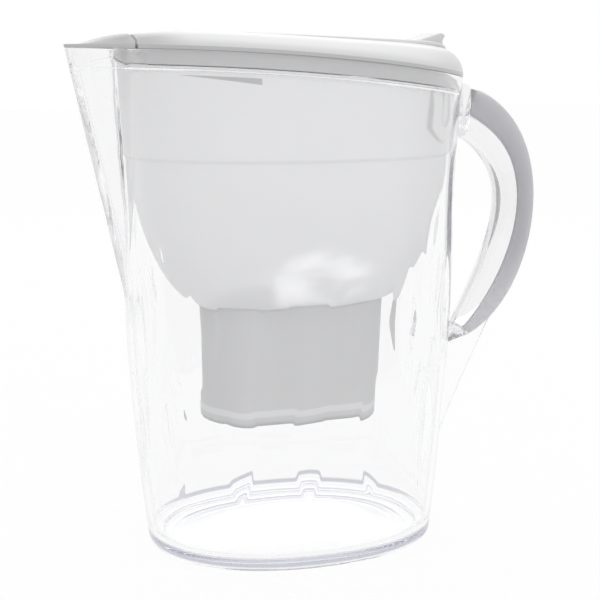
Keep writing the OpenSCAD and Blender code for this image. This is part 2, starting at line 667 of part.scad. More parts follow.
// ---------- change reminder ----------
// It lies flush in the flip lid, tilted as the lid is there
tilt = atan(crest_slope - flip_raise / 129);
flip_top_z = lid_crest(reminder_x) + flip_lift(reminder_x);
window_x = -case_half_len / 2 + 0.6;
button_x = case_half_len / 2 - 0.4;
plate_thick = 1;
module on_flip() {
    translate([reminder_x, 0, flip_top_z]) rotate([0, tilt, 0]) children();
}
module reminder_case() {
    color(grey_plastic) on_flip() difference() {
        union() {
            translate([0, 0, -case_depth]) oblong(case_half_len, case_half_wid, case_depth);
            translate([0, 0, -plate_thick]) oblong(case_half_len + 1.6, case_half_wid + 1.6, plate_thick);
        }
        translate([0, 0, -case_depth + plate_thick])
            oblong(case_half_len - case_wall, case_half_wid - case_wall, case_depth - 2 * plate_thick);
        translate([window_x, 0, -0.6]) cylinder(r = window_r + 0.1, h = 2);
        translate([window_x, 0, -2]) cylinder(r = window_r - 0.6, h = 3);
        translate([button_x, 0, -2]) cylinder(r = button_r + 0.15, h = 4);
    }
}
module reminder_window() {
    color(clear_plastic) on_flip() translate([window_x, 0, -0.55]) cylinder(r = window_r, h = 0.5);
}
module reminder_button() {
    color(white_plastic) on_flip() translate([button_x, 0, 0]) {
        translate([0, 0, -3]) cylinder(r = button_r, h = 3 + button_proud);
        translate([0, 0, -plate_thick - 0.9]) cylinder(r = button_r + 0.7, h = 0.8);
    }
}
board_z = -case_depth + plate_thick + 2.4;
module reminder_board() {
    color([0.2, 0.4, 0.25]) on_flip() translate([0, 0, board_z])
        oblong(case_half_len - case_wall - 0.3, case_half_wid - case_wall - 0.3, 0.8);
}
module reminder_cell() {
    color([0.75, 0.75, 0.76]) on_flip() translate([0, 0, board_z - 2.3])
        cylinder(r = case_half_wid - case_wall - 1.8, h = 2.2);
}

// Everything is drawn from the middle of the oval, then moved so that the outer box is centred
handle_out = max([for (n = [0 : handle_steps])
    bezier(outer_path, clamp(mix(-0.8, 1.7, n / handle_steps)))[0]]);
mid_x = (handle_out - spout_reach) / 2;
module place() {
    translate([-mid_x, 0, 0]) children();
}
place() jug();
place() handle_strip();
place() funnel();
place() lid_frame();
place() flip_lid();
place() flip_hinge_pin();
place() spout_flap();
place() flap_hinge_pin();
place() cartridge_housing();
place() cartridge_cap();
place() cartridge_seal();
place() inlet_screen();
place() granule_bed();
place() outlet_screen();
place() pull_loop();
place() reminder_case();
place() reminder_window();
place() reminder_button();
place() reminder_board();
place() reminder_cell();
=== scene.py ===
# %% [markdown]
# # Water filter pitcher with a flip lid
# The pitcher is a clear jug with a milky funnel inside it, and a domed cover on top. Almost
# everything that the eye sees is a thin moulded wall, so this lesson builds walls: each one is a
# stack of rings, drawn outwards edge by edge.
#
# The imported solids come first. They give the frame that every piece is placed in.

# %% Load the solids
import math

import bmesh
import bpy
from mathutils import Matrix, Vector

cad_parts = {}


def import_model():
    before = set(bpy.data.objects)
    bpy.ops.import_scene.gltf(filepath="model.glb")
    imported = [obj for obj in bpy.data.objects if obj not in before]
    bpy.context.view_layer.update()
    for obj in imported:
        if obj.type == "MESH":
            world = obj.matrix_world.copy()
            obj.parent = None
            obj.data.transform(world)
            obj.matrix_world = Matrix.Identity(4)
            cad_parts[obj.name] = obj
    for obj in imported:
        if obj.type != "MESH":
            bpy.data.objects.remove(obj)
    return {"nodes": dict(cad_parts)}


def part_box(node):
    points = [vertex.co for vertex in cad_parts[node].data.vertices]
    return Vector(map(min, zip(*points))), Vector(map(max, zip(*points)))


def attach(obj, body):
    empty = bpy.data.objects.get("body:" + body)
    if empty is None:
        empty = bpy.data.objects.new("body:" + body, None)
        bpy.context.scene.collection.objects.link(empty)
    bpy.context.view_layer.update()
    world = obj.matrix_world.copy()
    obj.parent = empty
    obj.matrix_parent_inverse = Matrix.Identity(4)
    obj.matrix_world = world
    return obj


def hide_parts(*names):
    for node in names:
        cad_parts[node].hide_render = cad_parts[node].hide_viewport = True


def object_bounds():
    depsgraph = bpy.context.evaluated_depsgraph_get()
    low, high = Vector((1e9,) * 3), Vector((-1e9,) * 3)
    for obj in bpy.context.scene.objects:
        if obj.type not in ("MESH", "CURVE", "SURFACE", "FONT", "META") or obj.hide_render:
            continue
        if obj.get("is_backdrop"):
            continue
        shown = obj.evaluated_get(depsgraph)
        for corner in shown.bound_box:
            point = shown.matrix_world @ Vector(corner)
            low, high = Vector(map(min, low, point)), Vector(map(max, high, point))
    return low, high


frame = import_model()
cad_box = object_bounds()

print("outer box in mm:", [round(1000 * v) for corner in cad_box for v in corner])

# %% [markdown]
# ## Measures
# Every piece is drawn in millimetres from the middle of the jug's oval, because the jug, the
# funnel and the cover share that oval. The outer box is centred on the origin instead, so one
# shift along X brings a finished piece into the frame. The jug's own box gives that shift.

# %% The jug's measures
LENGTHS, WIDTHS = (161.2, 184.4, 195), (131, 138, 143)  # at the base, the belly and the rim
OVAL_POWER = 2.2  # 2 gives an ellipse, and more gives squarer shoulders
TIP_Z, SPOUT_REACH = 270.6, 120.5  # the spout's tip: its height, and how far out it lies
REAR_REACH, RIM_DROP = LENGTHS[2] / 2, 16.6  # the rim at the handle, and how much lower it is
BELLY_Z, PROW_FOOT_Z = 165, 137
PROW_ANGLE, NOSE_SOFT = math.radians(36.5), 5  # half the wedge's angle, and its nose's softness
WALL, RIM_WALL, LEDGE, FLOOR = 3.2, 2.0, 9.5, 6
TURNS = 400  # points in a ring
MIDDLE = -1000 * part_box("jug")[0].x - SPOUT_REACH
print(f"the oval's middle lies {MIDDLE:.2f} mm from the middle of the outer box")


def mix(a, b, t):
    return a + (b - a) * t


def clamp(t):
    return min(1.0, max(0.0, t))


def smooth(low, high, value):
    t = clamp((value - low) / (high - low))
    return t * t * (3 - 2 * t)


# %% [markdown]
# ## The oval and the prow
# Seen from above the jug is a superellipse: an oval with slightly squared shoulders. It swells
# from the base to the belly and flares again to the rim. The prow is a wedge that grows out of
# the oval. A hyperbola gives it: the two arms are its sides, and the turn is its soft nose. The
# radius at a bearing is the larger of the two, with a small fillet where they cross. The prow
# could also be modelled apart and joined on, but one radius for each bearing keeps the wall whole.


# %% Radius of the jug at a bearing and a height
PROW_SPREAD, FILLET = 0.76, 2  # the wedge ends at the bearing with this cosine


def half_size(z, base, belly, rim):
    if z < BELLY_Z:
        return 0.5 * (belly - (belly - base) * (1 - max(z, 0) / BELLY_Z) ** 1.8)
    return 0.5 * (belly + (rim - belly) * ((z - BELLY_Z) / (TIP_Z - BELLY_Z)) ** 2)


def half_length(z):
    return half_size(z, *LENGTHS)


def half_width(z):
    return half_size(z, *WIDTHS)


def superellipse(phi, a, b):
    along, across = abs(math.cos(phi)) / a, abs(math.sin(phi)) / b
    return (along**OVAL_POWER + across**OVAL_POWER) ** (-1 / OVAL_POWER)


def oval_radius(phi, z, inset):
    return superellipse(phi, half_length(z) - inset, half_width(z) - inset)


def nose_reach(z):
    """How far out the nose of the prow lies at a height."""
    foot = half_length(PROW_FOOT_Z)
    return mix(foot, SPOUT_REACH, (z - PROW_FOOT_Z) / (TIP_Z - PROW_FOOT_Z))


def prow_radius(phi, nose):
    c, s = -math.cos(phi), math.sin(phi) / math.tan(PROW_ANGLE)
    if c < PROW_SPREAD:
        return 0
    tip = nose + NOSE_SOFT  # where the arms would meet
    power = tip * tip - NOSE_SOFT * NOSE_SOFT
    return power / (tip * c + math.sqrt(max(0, (tip * c) ** 2 - (c * c - s * s) * power)))


def jug_radius(phi, z, inset):
    a = oval_radius(phi, z, inset)
    b = prow_radius(phi, nose_reach(z) - inset / math.sin(PROW_ANGLE))
    return max(a, b) + max(FILLET - abs(a - b), 0) ** 2 / (4 * FILLET)


def rim_height(x):
    """The rim slopes down from the spout to the handle, more and more steeply."""
    return TIP_Z - RIM_DROP * ((x + SPOUT_REACH) / (SPOUT_REACH + REAR_REACH)) ** 2


def bearings(count=TURNS):
    """Bearings round the oval, a little closer together at the nose of the prow."""
    steps = [2 * i / count - 1 for i in range(count)]
    return [math.pi * (1 + math.copysign(abs(t) ** 1.2, t)) for t in steps]


print(f"jug {2 * half_length(TIP_Z):.0f} x {2 * half_width(TIP_Z):.0f} mm at the rim")

# %% [markdown]
# ## Rings and walls
# A ring is a loop of points, one for each bearing. `loft` starts from a bmesh circle, sets its
# points on the first ring, and then extrudes the loop of edges once for each further ring. A
# number kept on every vertex says which bearing it belongs to, and an extrusion copies it, so
# each new loop knows where its points go. A ring with no radius closes a pole. A Screw or Solidify
# modifier could make a round wall faster, but this one isn't round and its thickness changes.


# %% Rings
def ring(radius, height, count=TURNS):
    """A loop of points from a radius and a height that may both depend on the bearing."""
    loop = []
    for phi in bearings(count):
        r = radius(phi) if callable(radius) else radius
        x, y = r * math.cos(phi), r * math.sin(phi)
        loop.append((x, y, height(x, y) if callable(height) else height))
    return loop


def level(z, inset, relief=None, count=TURNS):
    """The jug's outline at a height, drawn in by an inset and by the relief, if any."""
    return ring(lambda phi: jug_radius(phi, z, inset) - (relief(phi, z) if relief else 0), z, count)


def below_rim(drop, inset, outline=jug_radius, count=TURNS):
    """An outline that follows the rim some way below it."""

    def radius(phi):
        x = math.cos(phi) * outline(phi, TIP_Z - drop, inset)
        return outline(phi, rim_height(x) - drop, inset)

    return ring(radius, lambda x, y: rim_height(x) - drop, count)


# %% Walls
def only(items, kind):
    return [item for item in items if isinstance(item, kind)]


def edges_of(verts):
    return list(dict.fromkeys(edge for vert in verts for edge in vert.link_edges))


def loft(mesh, rings, closed=False):
    """Extrudes a loop of edges through rings of equal length."""
    tag = mesh.verts.layers.int.get("bearing") or mesh.verts.layers.int.new("bearing")
    first = bmesh.ops.create_circle(mesh, segments=len(rings[0]), radius=1)["verts"]
    for number, vert in enumerate(first):
        vert[tag] = number
        vert.co = rings[0][number]
    loop = start = edges_of(first)
    for points in rings[1:]:
        made = bmesh.ops.extrude_edge_only(mesh, edges=loop)["geom"]
        fresh = set(only(made, bmesh.types.BMVert))
        for vert in fresh:
            vert.co = points[vert[tag]]
        loop = [e for e in only(made, bmesh.types.BMEdge) if set(e.verts) <= fresh]
    if closed:
        bmesh.ops.bridge_loops(mesh, edges=start + loop)


def piece(name, mesh, body, material, node, smooth_angle=35):
    """Finishes a mesh drawn in millimetres, and puts it in the frame on its body, in place of a
    solid. Points that coincide are merged before the normals are turned outwards."""
    bmesh.ops.remove_doubles(mesh, verts=mesh.verts, dist=0.004)
    bmesh.ops.dissolve_degenerate(mesh, edges=mesh.edges, dist=0.002)
    bmesh.ops.recalc_face_normals(mesh, faces=mesh.faces)
    bmesh.ops.translate(mesh, verts=mesh.verts, vec=(-MIDDLE, 0, 0))
    bmesh.ops.scale(mesh, verts=mesh.verts, vec=(0.001, 0.001, 0.001))
    data = bpy.data.meshes.new(name)
    mesh.to_mesh(data)
    mesh.free()
    data.shade_smooth()
    data.set_sharp_from_angle(angle=math.radians(smooth_angle))
    thing = bpy.data.objects.new(name, data)
    bpy.context.collection.objects.link(thing)
    thing.data.materials.append(material)
    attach(thing, body)
    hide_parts(node)
    size = [round(1000 * v, 1) for v in thing.dimensions]
    print(f"{name}: {len(data.polygons)} faces, {size} mm")


# %% [markdown]
# ## Shader maths
# A finish is a small network of nodes. Wrapping each socket in a class with operators lets the
# maths read as plain expressions, and one method makes every other node.


# %% The finish builder
class Value:
    """A value that varies over a surface. Maths on it adds Math nodes to its finish."""

    def __init__(self, finish, socket):
        self.finish, self.socket = finish, socket

    def math(self, operation, *values):
        return self.finish.math_of(operation, *values)

    def __add__(self, other):
        return self.math("ADD", self, other)

    def __sub__(self, other):
        return self.math("SUBTRACT", self, other)

    def __truediv__(self, other):
        return self.math("DIVIDE", self, other)

    def __pow__(self, other):
        return self.math("POWER", self, other)

    def __abs__(self):
        return self.math("ABSOLUTE", self)

    def __rsub__(self, other):
        return self.math("SUBTRACT", other, self)

    def __mul__(self, other):
        return self.math("MULTIPLY", self, other)

    __radd__, __rmul__ = __add__, __mul__


class Finish:
    """A node tree under construction: a new material's, or one that is handed in."""

    def __init__(self, name, tree=None):
        if tree is None:
            self.material = bpy.data.materials.new(name)
            self.material.use_nodes = True
            tree = self.material.node_tree
        self.tree = tree
        self.shader = tree.nodes.get("Principled BSDF")

    def node(self, kind, settings=None, *values, output=0, **named):
        """A node with its settings, and then its sockets' values, by order or by name."""
        made = self.tree.nodes.new(kind)
        for key, value in (settings or {}).items():
            setattr(made, key, value)
        inputs = [(made.inputs[i], value) for i, value in enumerate(values)]
        inputs += [(made.inputs[key.replace("_", " ")], value) for key, value in named.items()]
        for socket, value in inputs:
            self.feed(socket, value)
        return Value(self, made.outputs[output])

    def math_of(self, operation, *values):
        return self.node("ShaderNodeMath", {"operation": operation}, *values)

    def feed(self, socket, value):
        if isinstance(value, Value):
            self.tree.links.new(value.socket, socket)
        else:
            socket.default_value = value

    def set(self, **named):
        for key, value in named.items():
            self.feed(self.shader.inputs[key.replace("_", " ")], value)

    def place(self):
        return self.node("ShaderNodeTexCoord", output=3)

    def spot(self):
        """The three coordinates of a point in millimetres, from the middle of the oval."""
        split = self.node("ShaderNodeSeparateXYZ", {}, self.place())
        x, y, z = (Value(self, split.socket.node.outputs[k]) * 1000 for k in range(3))
        return x + MIDDLE, y, z

    def ramp(self, value, low, high):
        """Rises softly from 0 at `low` to 1 at `high`, which may lie below it."""
        ends = sorted((low, high))
        rise = self.node("ShaderNodeMapRange", {"interpolation_type": "SMOOTHSTEP"}, value, *ends)
        return rise if low < high else 1 - rise

    def noise(self, scale, detail=3.0, rough=0.5, stretch=(1, 1, 1)):
        spot = self.node("ShaderNodeMapping", {}, Vector=self.place(), Scale=stretch)
        return self.node("ShaderNodeTexNoise", {}, Vector=spot, Scale=scale, Detail=detail,
                         Roughness=rough)

    def shade(self, factor, dark, light):
        """A colour between two colours."""
        mixed = self.node("ShaderNodeMix", {"data_type": "RGBA"}, factor, output=2)
        for number, colour in ((6, dark), (7, light)):  # the node's two colour sockets
            socket = mixed.socket.node.inputs[number]
            self.feed(socket, colour if isinstance(colour, Value) else (*colour, 1))
        return mixed

    def bump(self, height, distance, strength=1.0):
        return self.node("ShaderNodeBump", {}, Height=height, Distance=distance, Strength=strength)


# %% [markdown]
# ## Clear plastic
# The jug is a clear styrene plastic. Light bends in its wall, so transmission with the plastic's
# own index does most of the work. A long, shallow waviness in the bump is what a moulded wall
# shows beside a blown one, and the roughness drifts a little where hands and cloths have been.
# Plastic that one looks along shows dark edges, and here that is painted shade: the base colour
# is greyer where the surface turns away from the view. In the nose of the prow and in the solid
# foot the painted shade is placed by position, which also holds from every side. The foot's faint
# blue is the thick plastic's own tint.


# %% Clear finish
def clear_plastic(name, tint=(0.982, 0.983, 0.987), wave=0.00012, jug=False):
    """Clear styrene, with painted shade wherever one looks along the wall: at the edges, in the
    nose of the prow, and in the solid foot, which is also faintly blue."""
    finish = Finish(name)
    drift = finish.noise(24, 3, 0.6)
    haze = finish.noise(140, 2, 0.5)
    colour = finish.shade(drift, [v - 0.008 for v in tint], tint)
    # painted shade: greyer where the surface turns away, for the dark edges of clear plastic
    facing = finish.node("ShaderNodeLayerWeight", {}, 0.5, output=1)
    colour = finish.shade(0.8 * finish.ramp(facing, 0.7, 0.97), colour, (0.6, 0.6, 0.62))
    if jug:
        x, y, z = finish.spot()
        # painted shade in the solid foot, over its own faint blue, and in the nose of the prow
        along, across = abs(x) / (half_length(0) + 0.7), abs(y) / (half_width(0) + 0.7)
        outside = finish.ramp(along**OVAL_POWER + across**OVAL_POWER, 0.93, 0.97)
        foot = outside * finish.ramp(z, 7.5, 6) * finish.ramp(z, 1.6, 3)
        colour = finish.shade(foot, colour, (0.37, 0.37, 0.45))
        nose = finish.ramp(x + nose_reach(z), 2.2, 0.6) * finish.ramp(z, 120, 150)
        colour = finish.shade(nose, colour, (0.78, 0.78, 0.79))
    finish.set(
        Base_Color=colour, Roughness=0.012 + 0.03 * drift * haze,
        Normal=finish.bump(finish.noise(30, 1, 0.4, (1, 1, 0.25)), wave, 0.5),
        IOR=1.5, Transmission_Weight=1.0,
    )
    return finish.material


# %% [markdown]
# ## Milky plastic
# The funnel lets a little light through. Subsurface scattering could show what stands behind its
# wall, but it is slow and grainy. So the wall is nearly opaque, and the shade of what stands behind
# it is painted into the base colour: the cartridge in the well and the cover's wedge tabs. Painted
# shade also outlines the locating arches and darkens the funnel towards the handle. A faint
# emission stands for the light that gathers in the bowl. The plain functions for the rim and the
# prow also work on values, so a tone can follow a shape.

# %% Milky finish
WELL_TOP, WELL_FOOT = 135, 70
WEDGE_X, WEDGE_LONG = -71, 37  # front end and length of the cover's wedge tabs
ARCH_Y, ARCH_FOOT = 45, 222  # the locating arches, one each side of the handle
ARCHES = ((8.5, ARCH_FOOT, 8), (2.4, ARCH_FOOT + 8, 5))  # outline and hole: half width, foot, rise


def patch(x, z, middle, size):
    """Grows from 0 in the middle of an upright ellipse to 1 on its outline, and on outwards."""
    return ((x - middle[0]) / size[0]) ** 2.0 + ((z - middle[1]) / size[1]) ** 2.0


def milky_plastic(name):
    finish = Finish(name)
    drift = finish.noise(16, 4, 0.55)
    streaks = finish.noise(30, 3, 0.6, (1, 1, 0.04))
    grain = finish.noise(900, 2, 0.6)
    x, y, z = finish.spot()
    drop = rim_height(x) - z
    colour = finish.shade(drift, (0.935, 0.935, 0.94), (0.96, 0.96, 0.965))
    # painted shade: darker towards the handle's end
    colour = finish.shade(0.5 * finish.ramp(x, 30, 80), colour, (0.8, 0.8, 0.805))
    # painted shade where the cartridge stands behind the well's wall, lighter in a bright band
    # near its foot, with a painted dark edge at the foot of the well
    up = z - WELL_FOOT
    band = finish.ramp(up, 4.5, 5.5) * finish.ramp(up, 9, 8)
    cartridge = finish.ramp(z - WELL_TOP, 1.2, 0.6) * (1 - 0.5 * band) * (0.78 + 0.44 * streaks)
    colour = finish.shade(cartridge, colour, (0.71, 0.71, 0.715))
    colour = finish.shade(finish.ramp(up, 3, 0.5), colour, (0.55, 0.55, 0.56))
    # light gathers where the bowl turns into the well, with a little shade on the spout's side
    hollow = finish.ramp(patch(x, z, (2, 152), (33, 18)), 1.2, 0.1)
    glow = hollow * finish.ramp(finish.noise(45, 2, 0.5, (1, 1, 1.6)), 0.34, 0.68)
    beside = finish.ramp(patch(x, z, (-24, 140), (30, 12)), 1.2, 0.2)
    beside = beside * finish.ramp(z - WELL_TOP, 0.8, 2) * finish.ramp(x, -12, -26)
    colour = finish.shade(0.35 * beside, colour, (0.72, 0.72, 0.72))
    # painted shadow of the cover's wedge tabs, which hang behind the wall
    back = x - WEDGE_X
    tab_shadow = finish.ramp(back, -0.5, 1) * finish.ramp(back - WEDGE_LONG, 0.4, -0.4)
    wedge = drop - 3 * (back / WEDGE_LONG)
    tab_shadow = tab_shadow * finish.ramp(drop, 11.8, 12.1) * finish.ramp(wedge, 12.2, 11.9)
    colour = finish.shade(0.8 * tab_shadow, colour, (0.5, 0.5, 0.5))
    # painted shade along the outlines of the locating arches
    across = abs(abs(y) - ARCH_Y)
    for width, foot, rise in ARCHES:
        out = across - finish.node("ShaderNodeClamp", {}, (z - foot) / rise) ** 0.5 * width
        arch_outline_shade = finish.ramp(out, -1.6, -0.3) * finish.ramp(out, 1.0, -0.3)
        arch_outline_shade = arch_outline_shade * finish.ramp(x, 40, 50) * finish.ramp(z, foot - 1.5, foot)
        colour = finish.shade(0.6 * arch_outline_shade, colour, (0.5, 0.5, 0.5))
    finish.set(
        Base_Color=colour, Roughness=0.4 + 0.14 * drift,
        Normal=finish.bump(grain, 0.00004, 0.4), IOR=1.3, Transmission_Weight=0.12,
        Emission_Color=finish.shade(glow, (0, 0, 0), (1, 1, 1)), Emission_Strength=0.15,
    )
    return finish.material


# %% [markdown]
# ## White plastic
# The cover, the strip and the small parts are moulded in opaque plastic: a fine grain in the bump,
# scuffs in the roughness, and a thin coat for the gloss. Painted shade makes the cover greyer along
# its edge band and in its skirt, which lie in the dome's shade, on its side near the edge, and
# towards its two ends, and a painted glow lightens the seam of the spout flap. The strip is white
# plastic too: its grey base colour is painted shade, greyer towards the middle of the bow and
# lighter at its outside. Soft ramps paint these tones, which the even studio light leaves out.

# %% White finish
SEAM_X, SEAM_GAP = -90, 1.3  # the cover ends here, and the spout flap begins
BOW_X, BOW_Z = 60.6, 180  # middle of the circle that the outside of the handle nearly follows


def white_plastic(name, light=(0.78, 0.78, 0.79), rough=0.3, cover=False, strip=False):
    finish = Finish(name)
    drift = finish.noise(18, 4, 0.55)
    grain = finish.noise(1400, 2, 0.6)
    scuff = finish.noise(60, 6, 0.7, (1, 3, 3))
    colour = finish.shade(drift, [v - 0.018 for v in light], light)
    if strip:
        x, y, z = finish.spot()
        # painted shade on the strip: lighter towards the outside of the bow and towards its two
        # ends
        bow = ((x - BOW_X) ** 2.0 + (z - BOW_Z) ** 2.0) ** 0.5
        colour = finish.shade(finish.ramp(bow, 76, 87.5), colour, (0.64, 0.64, 0.66))
        colour = finish.shade(0.5 * finish.ramp(z, 205, 245), colour, (0.66, 0.66, 0.68))
        colour = finish.shade(0.8 * finish.ramp(z, 165, 120), colour, (0.72, 0.72, 0.74))
    if cover:
        x, y, z = finish.spot()
        drop = rim_height(x) - z
        # painted shade: greyer towards both ends and on the dome's side, darker along the edge band
        # and in the skirt
        colour = finish.shade(finish.ramp(x, -62, -94), colour, (0.36, 0.36, 0.365))
        colour = finish.shade(finish.ramp(x, 48, 88), colour, (0.62, 0.62, 0.625))
        colour = finish.shade(0.6 * finish.ramp(drop, -6.5, -2.5), colour, (0.62, 0.62, 0.625))
        colour = finish.shade(finish.ramp(drop, -2.5, -2), colour, (0.49, 0.49, 0.495))
        colour = finish.shade(finish.ramp(drop, -0.3, 0.2), colour, (0.57, 0.57, 0.575))
        # painted light: a faint glow in the seam, where light falls into it
        painted_seam_glow = finish.ramp(abs(x - (SEAM_X + SEAM_GAP / 2)), 0.95, 0.7)
        painted_seam_glow = finish.shade(painted_seam_glow * finish.ramp(drop, -1.5, -3), (0, 0, 0), (1, 1, 1))
        finish.set(Emission_Color=painted_seam_glow, Emission_Strength=0.14)
    finish.set(
        Base_Color=colour, Roughness=rough - 0.05 + 0.12 * scuff,
        Normal=finish.bump(grain + 0.6 * drift, 0.00003, 0.5),
        IOR=1.5, Coat_Weight=0.12, Coat_Roughness=0.2,
    )
    return finish.material


# %% The finishes of the new pieces
clear = clear_plastic("clear_styrene", jug=True)
handle_clear = clear_plastic("handle_styrene", (0.9, 0.9, 0.907))
milky = milky_plastic("milky_plastic")
white = white_plastic("white_plastic")
cover_white = white_plastic("cover_plastic", cover=True)
# the strip is white plastic, and its grey base colour is painted shade
strip_white = white_plastic("strip_plastic", (0.5, 0.5, 0.52), 0.34, strip=True)
cartridge_white = white_plastic("cartridge_plastic", (0.78, 0.78, 0.78), 0.42)
grey = white_plastic("grey_plastic", (0.42, 0.42, 0.44), 0.4)
print("finishes:", ", ".join(m.name for m in bpy.data.materials))

# %% [markdown]
# ## The jug
# The wall carries upright leaf shapes, hollowed up to two millimetres into the outside. They
# stand in staggered rows, and the top row fades out. A leaf is deepest at its middle and slopes
# evenly to both ends, so it bends light like a prism: a straight edge behind it looks stepped.

# %% Leaf relief and the shell
LEAVES, LEAF_START = 14, 0.3  # leaves in a row, and where the first one stands
LEAF_TALL, LEAF_DEEP, LEAF_HALF = 64, 1.9, 0.27  # the half width is a share of the pitch
LEAF_ROWS = ((0, 71), (0.5, 131), (0, 191))  # stagger and height of each row
JUG_TURNS, GIRTH_STEPS = 600, 720


def arc_share():
    """Share of the belly's girth that lies before each bearing, for even spacing of the leaves."""
    spots = []
    for step in range(GIRTH_STEPS + 1):
        phi = 2 * math.pi * step / GIRTH_STEPS
        r = oval_radius(phi, 120, 0)
        spots.append((r * math.cos(phi), r * math.sin(phi)))
    along = [0]
    for a, b in zip(spots, spots[1:]):
        along.append(along[-1] + math.dist(a, b))
    return [v / along[-1] for v in along]


GIRTH = arc_share()


def leaf_relief(phi, z):
    """How deep the leaves lie at a bearing and a height."""
    place = (phi % (2 * math.pi)) / (2 * math.pi) * GIRTH_STEPS
    step = int(place) % GIRTH_STEPS
    share = mix(GIRTH[step], GIRTH[step + 1], place % 1)
    depth = 0
    for stagger, middle in LEAF_ROWS:
        across = (share * LEAVES + LEAF_START + stagger) % 1 - 0.5
        up = abs(z - middle) / (LEAF_TALL / 2)
        depth = max(depth, 1 - up - (across / LEAF_HALF) ** 2)
    return LEAF_DEEP * depth * (1 - smooth(165, 200, z))


def jug_shell():
    mesh = bmesh.new()

    def wall(z, inset, relief=None):
        return level(z, inset, relief, JUG_TURNS)

    def edge(drop, inset):
        return below_rim(drop, inset, count=JUG_TURNS)

    outer = [wall(3 + 1.9 * n, 0, leaf_relief) for n in range(101)]
    outer += [wall(z, 0) for z in range(203, 249, 9)]
    heights = (244, 232, 215, 195, 175, 155, 140, 125, 105, 85, 65, 45, 28, 14)
    inner = [wall(z, WALL) for z in heights]
    loft(mesh, [
        ring(0.0, 2.5, JUG_TURNS), wall(2.5, 40), wall(2.5, 9), wall(2.1, 7.6), wall(0.5, 7.1),
        wall(0, 6.4), wall(0, 1.6), wall(0.5, 0.45), wall(1.5, 0), *outer,
        edge(3, 0), edge(0.5, 0), edge(0.1, 0.2), edge(0, 0.5),
        edge(0, RIM_WALL - 0.5), edge(0.1, RIM_WALL - 0.2), edge(0.5, RIM_WALL),
        edge(LEDGE - 0.4, RIM_WALL), edge(LEDGE, RIM_WALL + 0.3), edge(LEDGE, WALL - 0.3),
        edge(LEDGE + 0.4, WALL), *inner,
        wall(10.5, WALL), wall(8, WALL + 0.7), wall(6.6, WALL + 2.2), wall(FLOOR, WALL + 4.4),
        wall(FLOOR, 40), ring(0.0, FLOOR, JUG_TURNS),
    ])
    piece("jug_shell", mesh, "jug", clear, "jug")


jug_shell()

# %% [markdown]
# ## The handle
# The handle is moulded with the jug. Its palm side is solid clear plastic, and a channel in its
# outer side takes the white strip. A curve with a bevel could sweep the bar, but its depth and
# width change on the way. So two curves give the palm side and the outside, and one function
# places a cross-section between them at any point along the bow. The channel stays open almost
# down to the handle's foot: a closed clear bar works as a lens, and would magnify the strip's end.

# %% Handle curves
ROOT = 97.0
OUTER = [(ROOT, 253.2), (ROOT + 75.9, 243.2), (ROOT + 58.8, 108.8), (ROOT - 1.4, 103.3)]
INNER = [(ROOT, 224.5), (ROOT + 53.5, 197.2), (ROOT + 21.7, 154.9), (ROOT - 1.4, 104.3)]
FOOT_SHARE, BURIED = 0.45, 10  # width left at the foot, and the run into the jug's wall
BAR_HALF, CHANNEL_HALF, STRIP_HALF = 12.5, 10.3, 10
CHANNEL_FLOOR, STRIP_FLOOR = 0.38, 0.42  # depths, from 0 at the palm to 1 at the outside
CHANNEL_START, CHANNEL_END = 0.03, 0.93  # along the bow, from 0 at the rim to 1 at the foot
CORNER, BAR_POINTS = 0.62, 40  # a power of 1 rounds a corner fully, and 0 leaves it square


def bezier(p, t):
    return [
        (1 - t) ** 3 * p[0][k] + 3 * (1 - t) ** 2 * t * p[1][k]
        + 3 * (1 - t) * t * t * p[2][k] + t**3 * p[3][k]
        for k in (0, 1)
    ]


def handle_point(t, depth, y):
    """A point of the bow. Before t = 0 and past t = 1 the bar runs straight into the jug."""
    inner, outer = bezier(INNER, clamp(t)), bezier(OUTER, clamp(t))
    narrow = mix(1, FOOT_SHARE, clamp(t) ** 3)
    inside = BURIED * (min(t, 0) - max(t - 1, 0))
    return (mix(inner[0], outer[0], depth) + inside, y * narrow, mix(inner[1], outer[1], depth))


def soft(value, power=CORNER):
    return math.copysign(abs(value) ** power, value)


def bar_section(t, low, high, half, palm_corner=CORNER):
    """A soft rectangle between two depths of the bow, perhaps squarer on its palm side."""
    loop = []
    for n in range(BAR_POINTS):
        angle = 2 * math.pi * n / BAR_POINTS
        corner = palm_corner if math.cos(angle) < 0 else CORNER
        depth = mix(low, high, 0.5 + 0.5 * soft(math.cos(angle), corner))
        loop.append(handle_point(t, depth, half * soft(math.sin(angle), corner)))
    return loop


def channel_section(t):
    """Outline of the clear bar where the channel is open: round the palm side, then down into
    the channel and up again."""
    edge = math.asin((CHANNEL_HALF / BAR_HALF) ** (1 / CORNER))
    loop = []
    for n in range(61):
        angle = edge + (2 * math.pi - 2 * edge) * n / 60
        depth = 0.5 + 0.5 * soft(math.cos(angle))
        loop.append(handle_point(t, depth, BAR_HALF * soft(math.sin(angle))))
    lip = 0.5 + 0.5 * soft(math.cos(edge))
    for n in range(1, 24):
        turn = math.cos(math.pi * n / 24)
        depth = mix(lip, CHANNEL_FLOOR, min(1, 1.02 * (1 - abs(turn) ** 24)))
        loop.append(handle_point(t, depth, -CHANNEL_HALF * soft(turn, 0.16)))
    return loop


def cap_ends(sections):
    """Closes a stack of sections by drawing each end in to its middle."""
    caps = []
    for section in (sections[0], sections[-1]):
        middle = tuple(sum(p[k] for p in section) / len(section) for k in range(3))
        caps.append([middle] * len(section))
    return [caps[0], *sections, caps[1]]


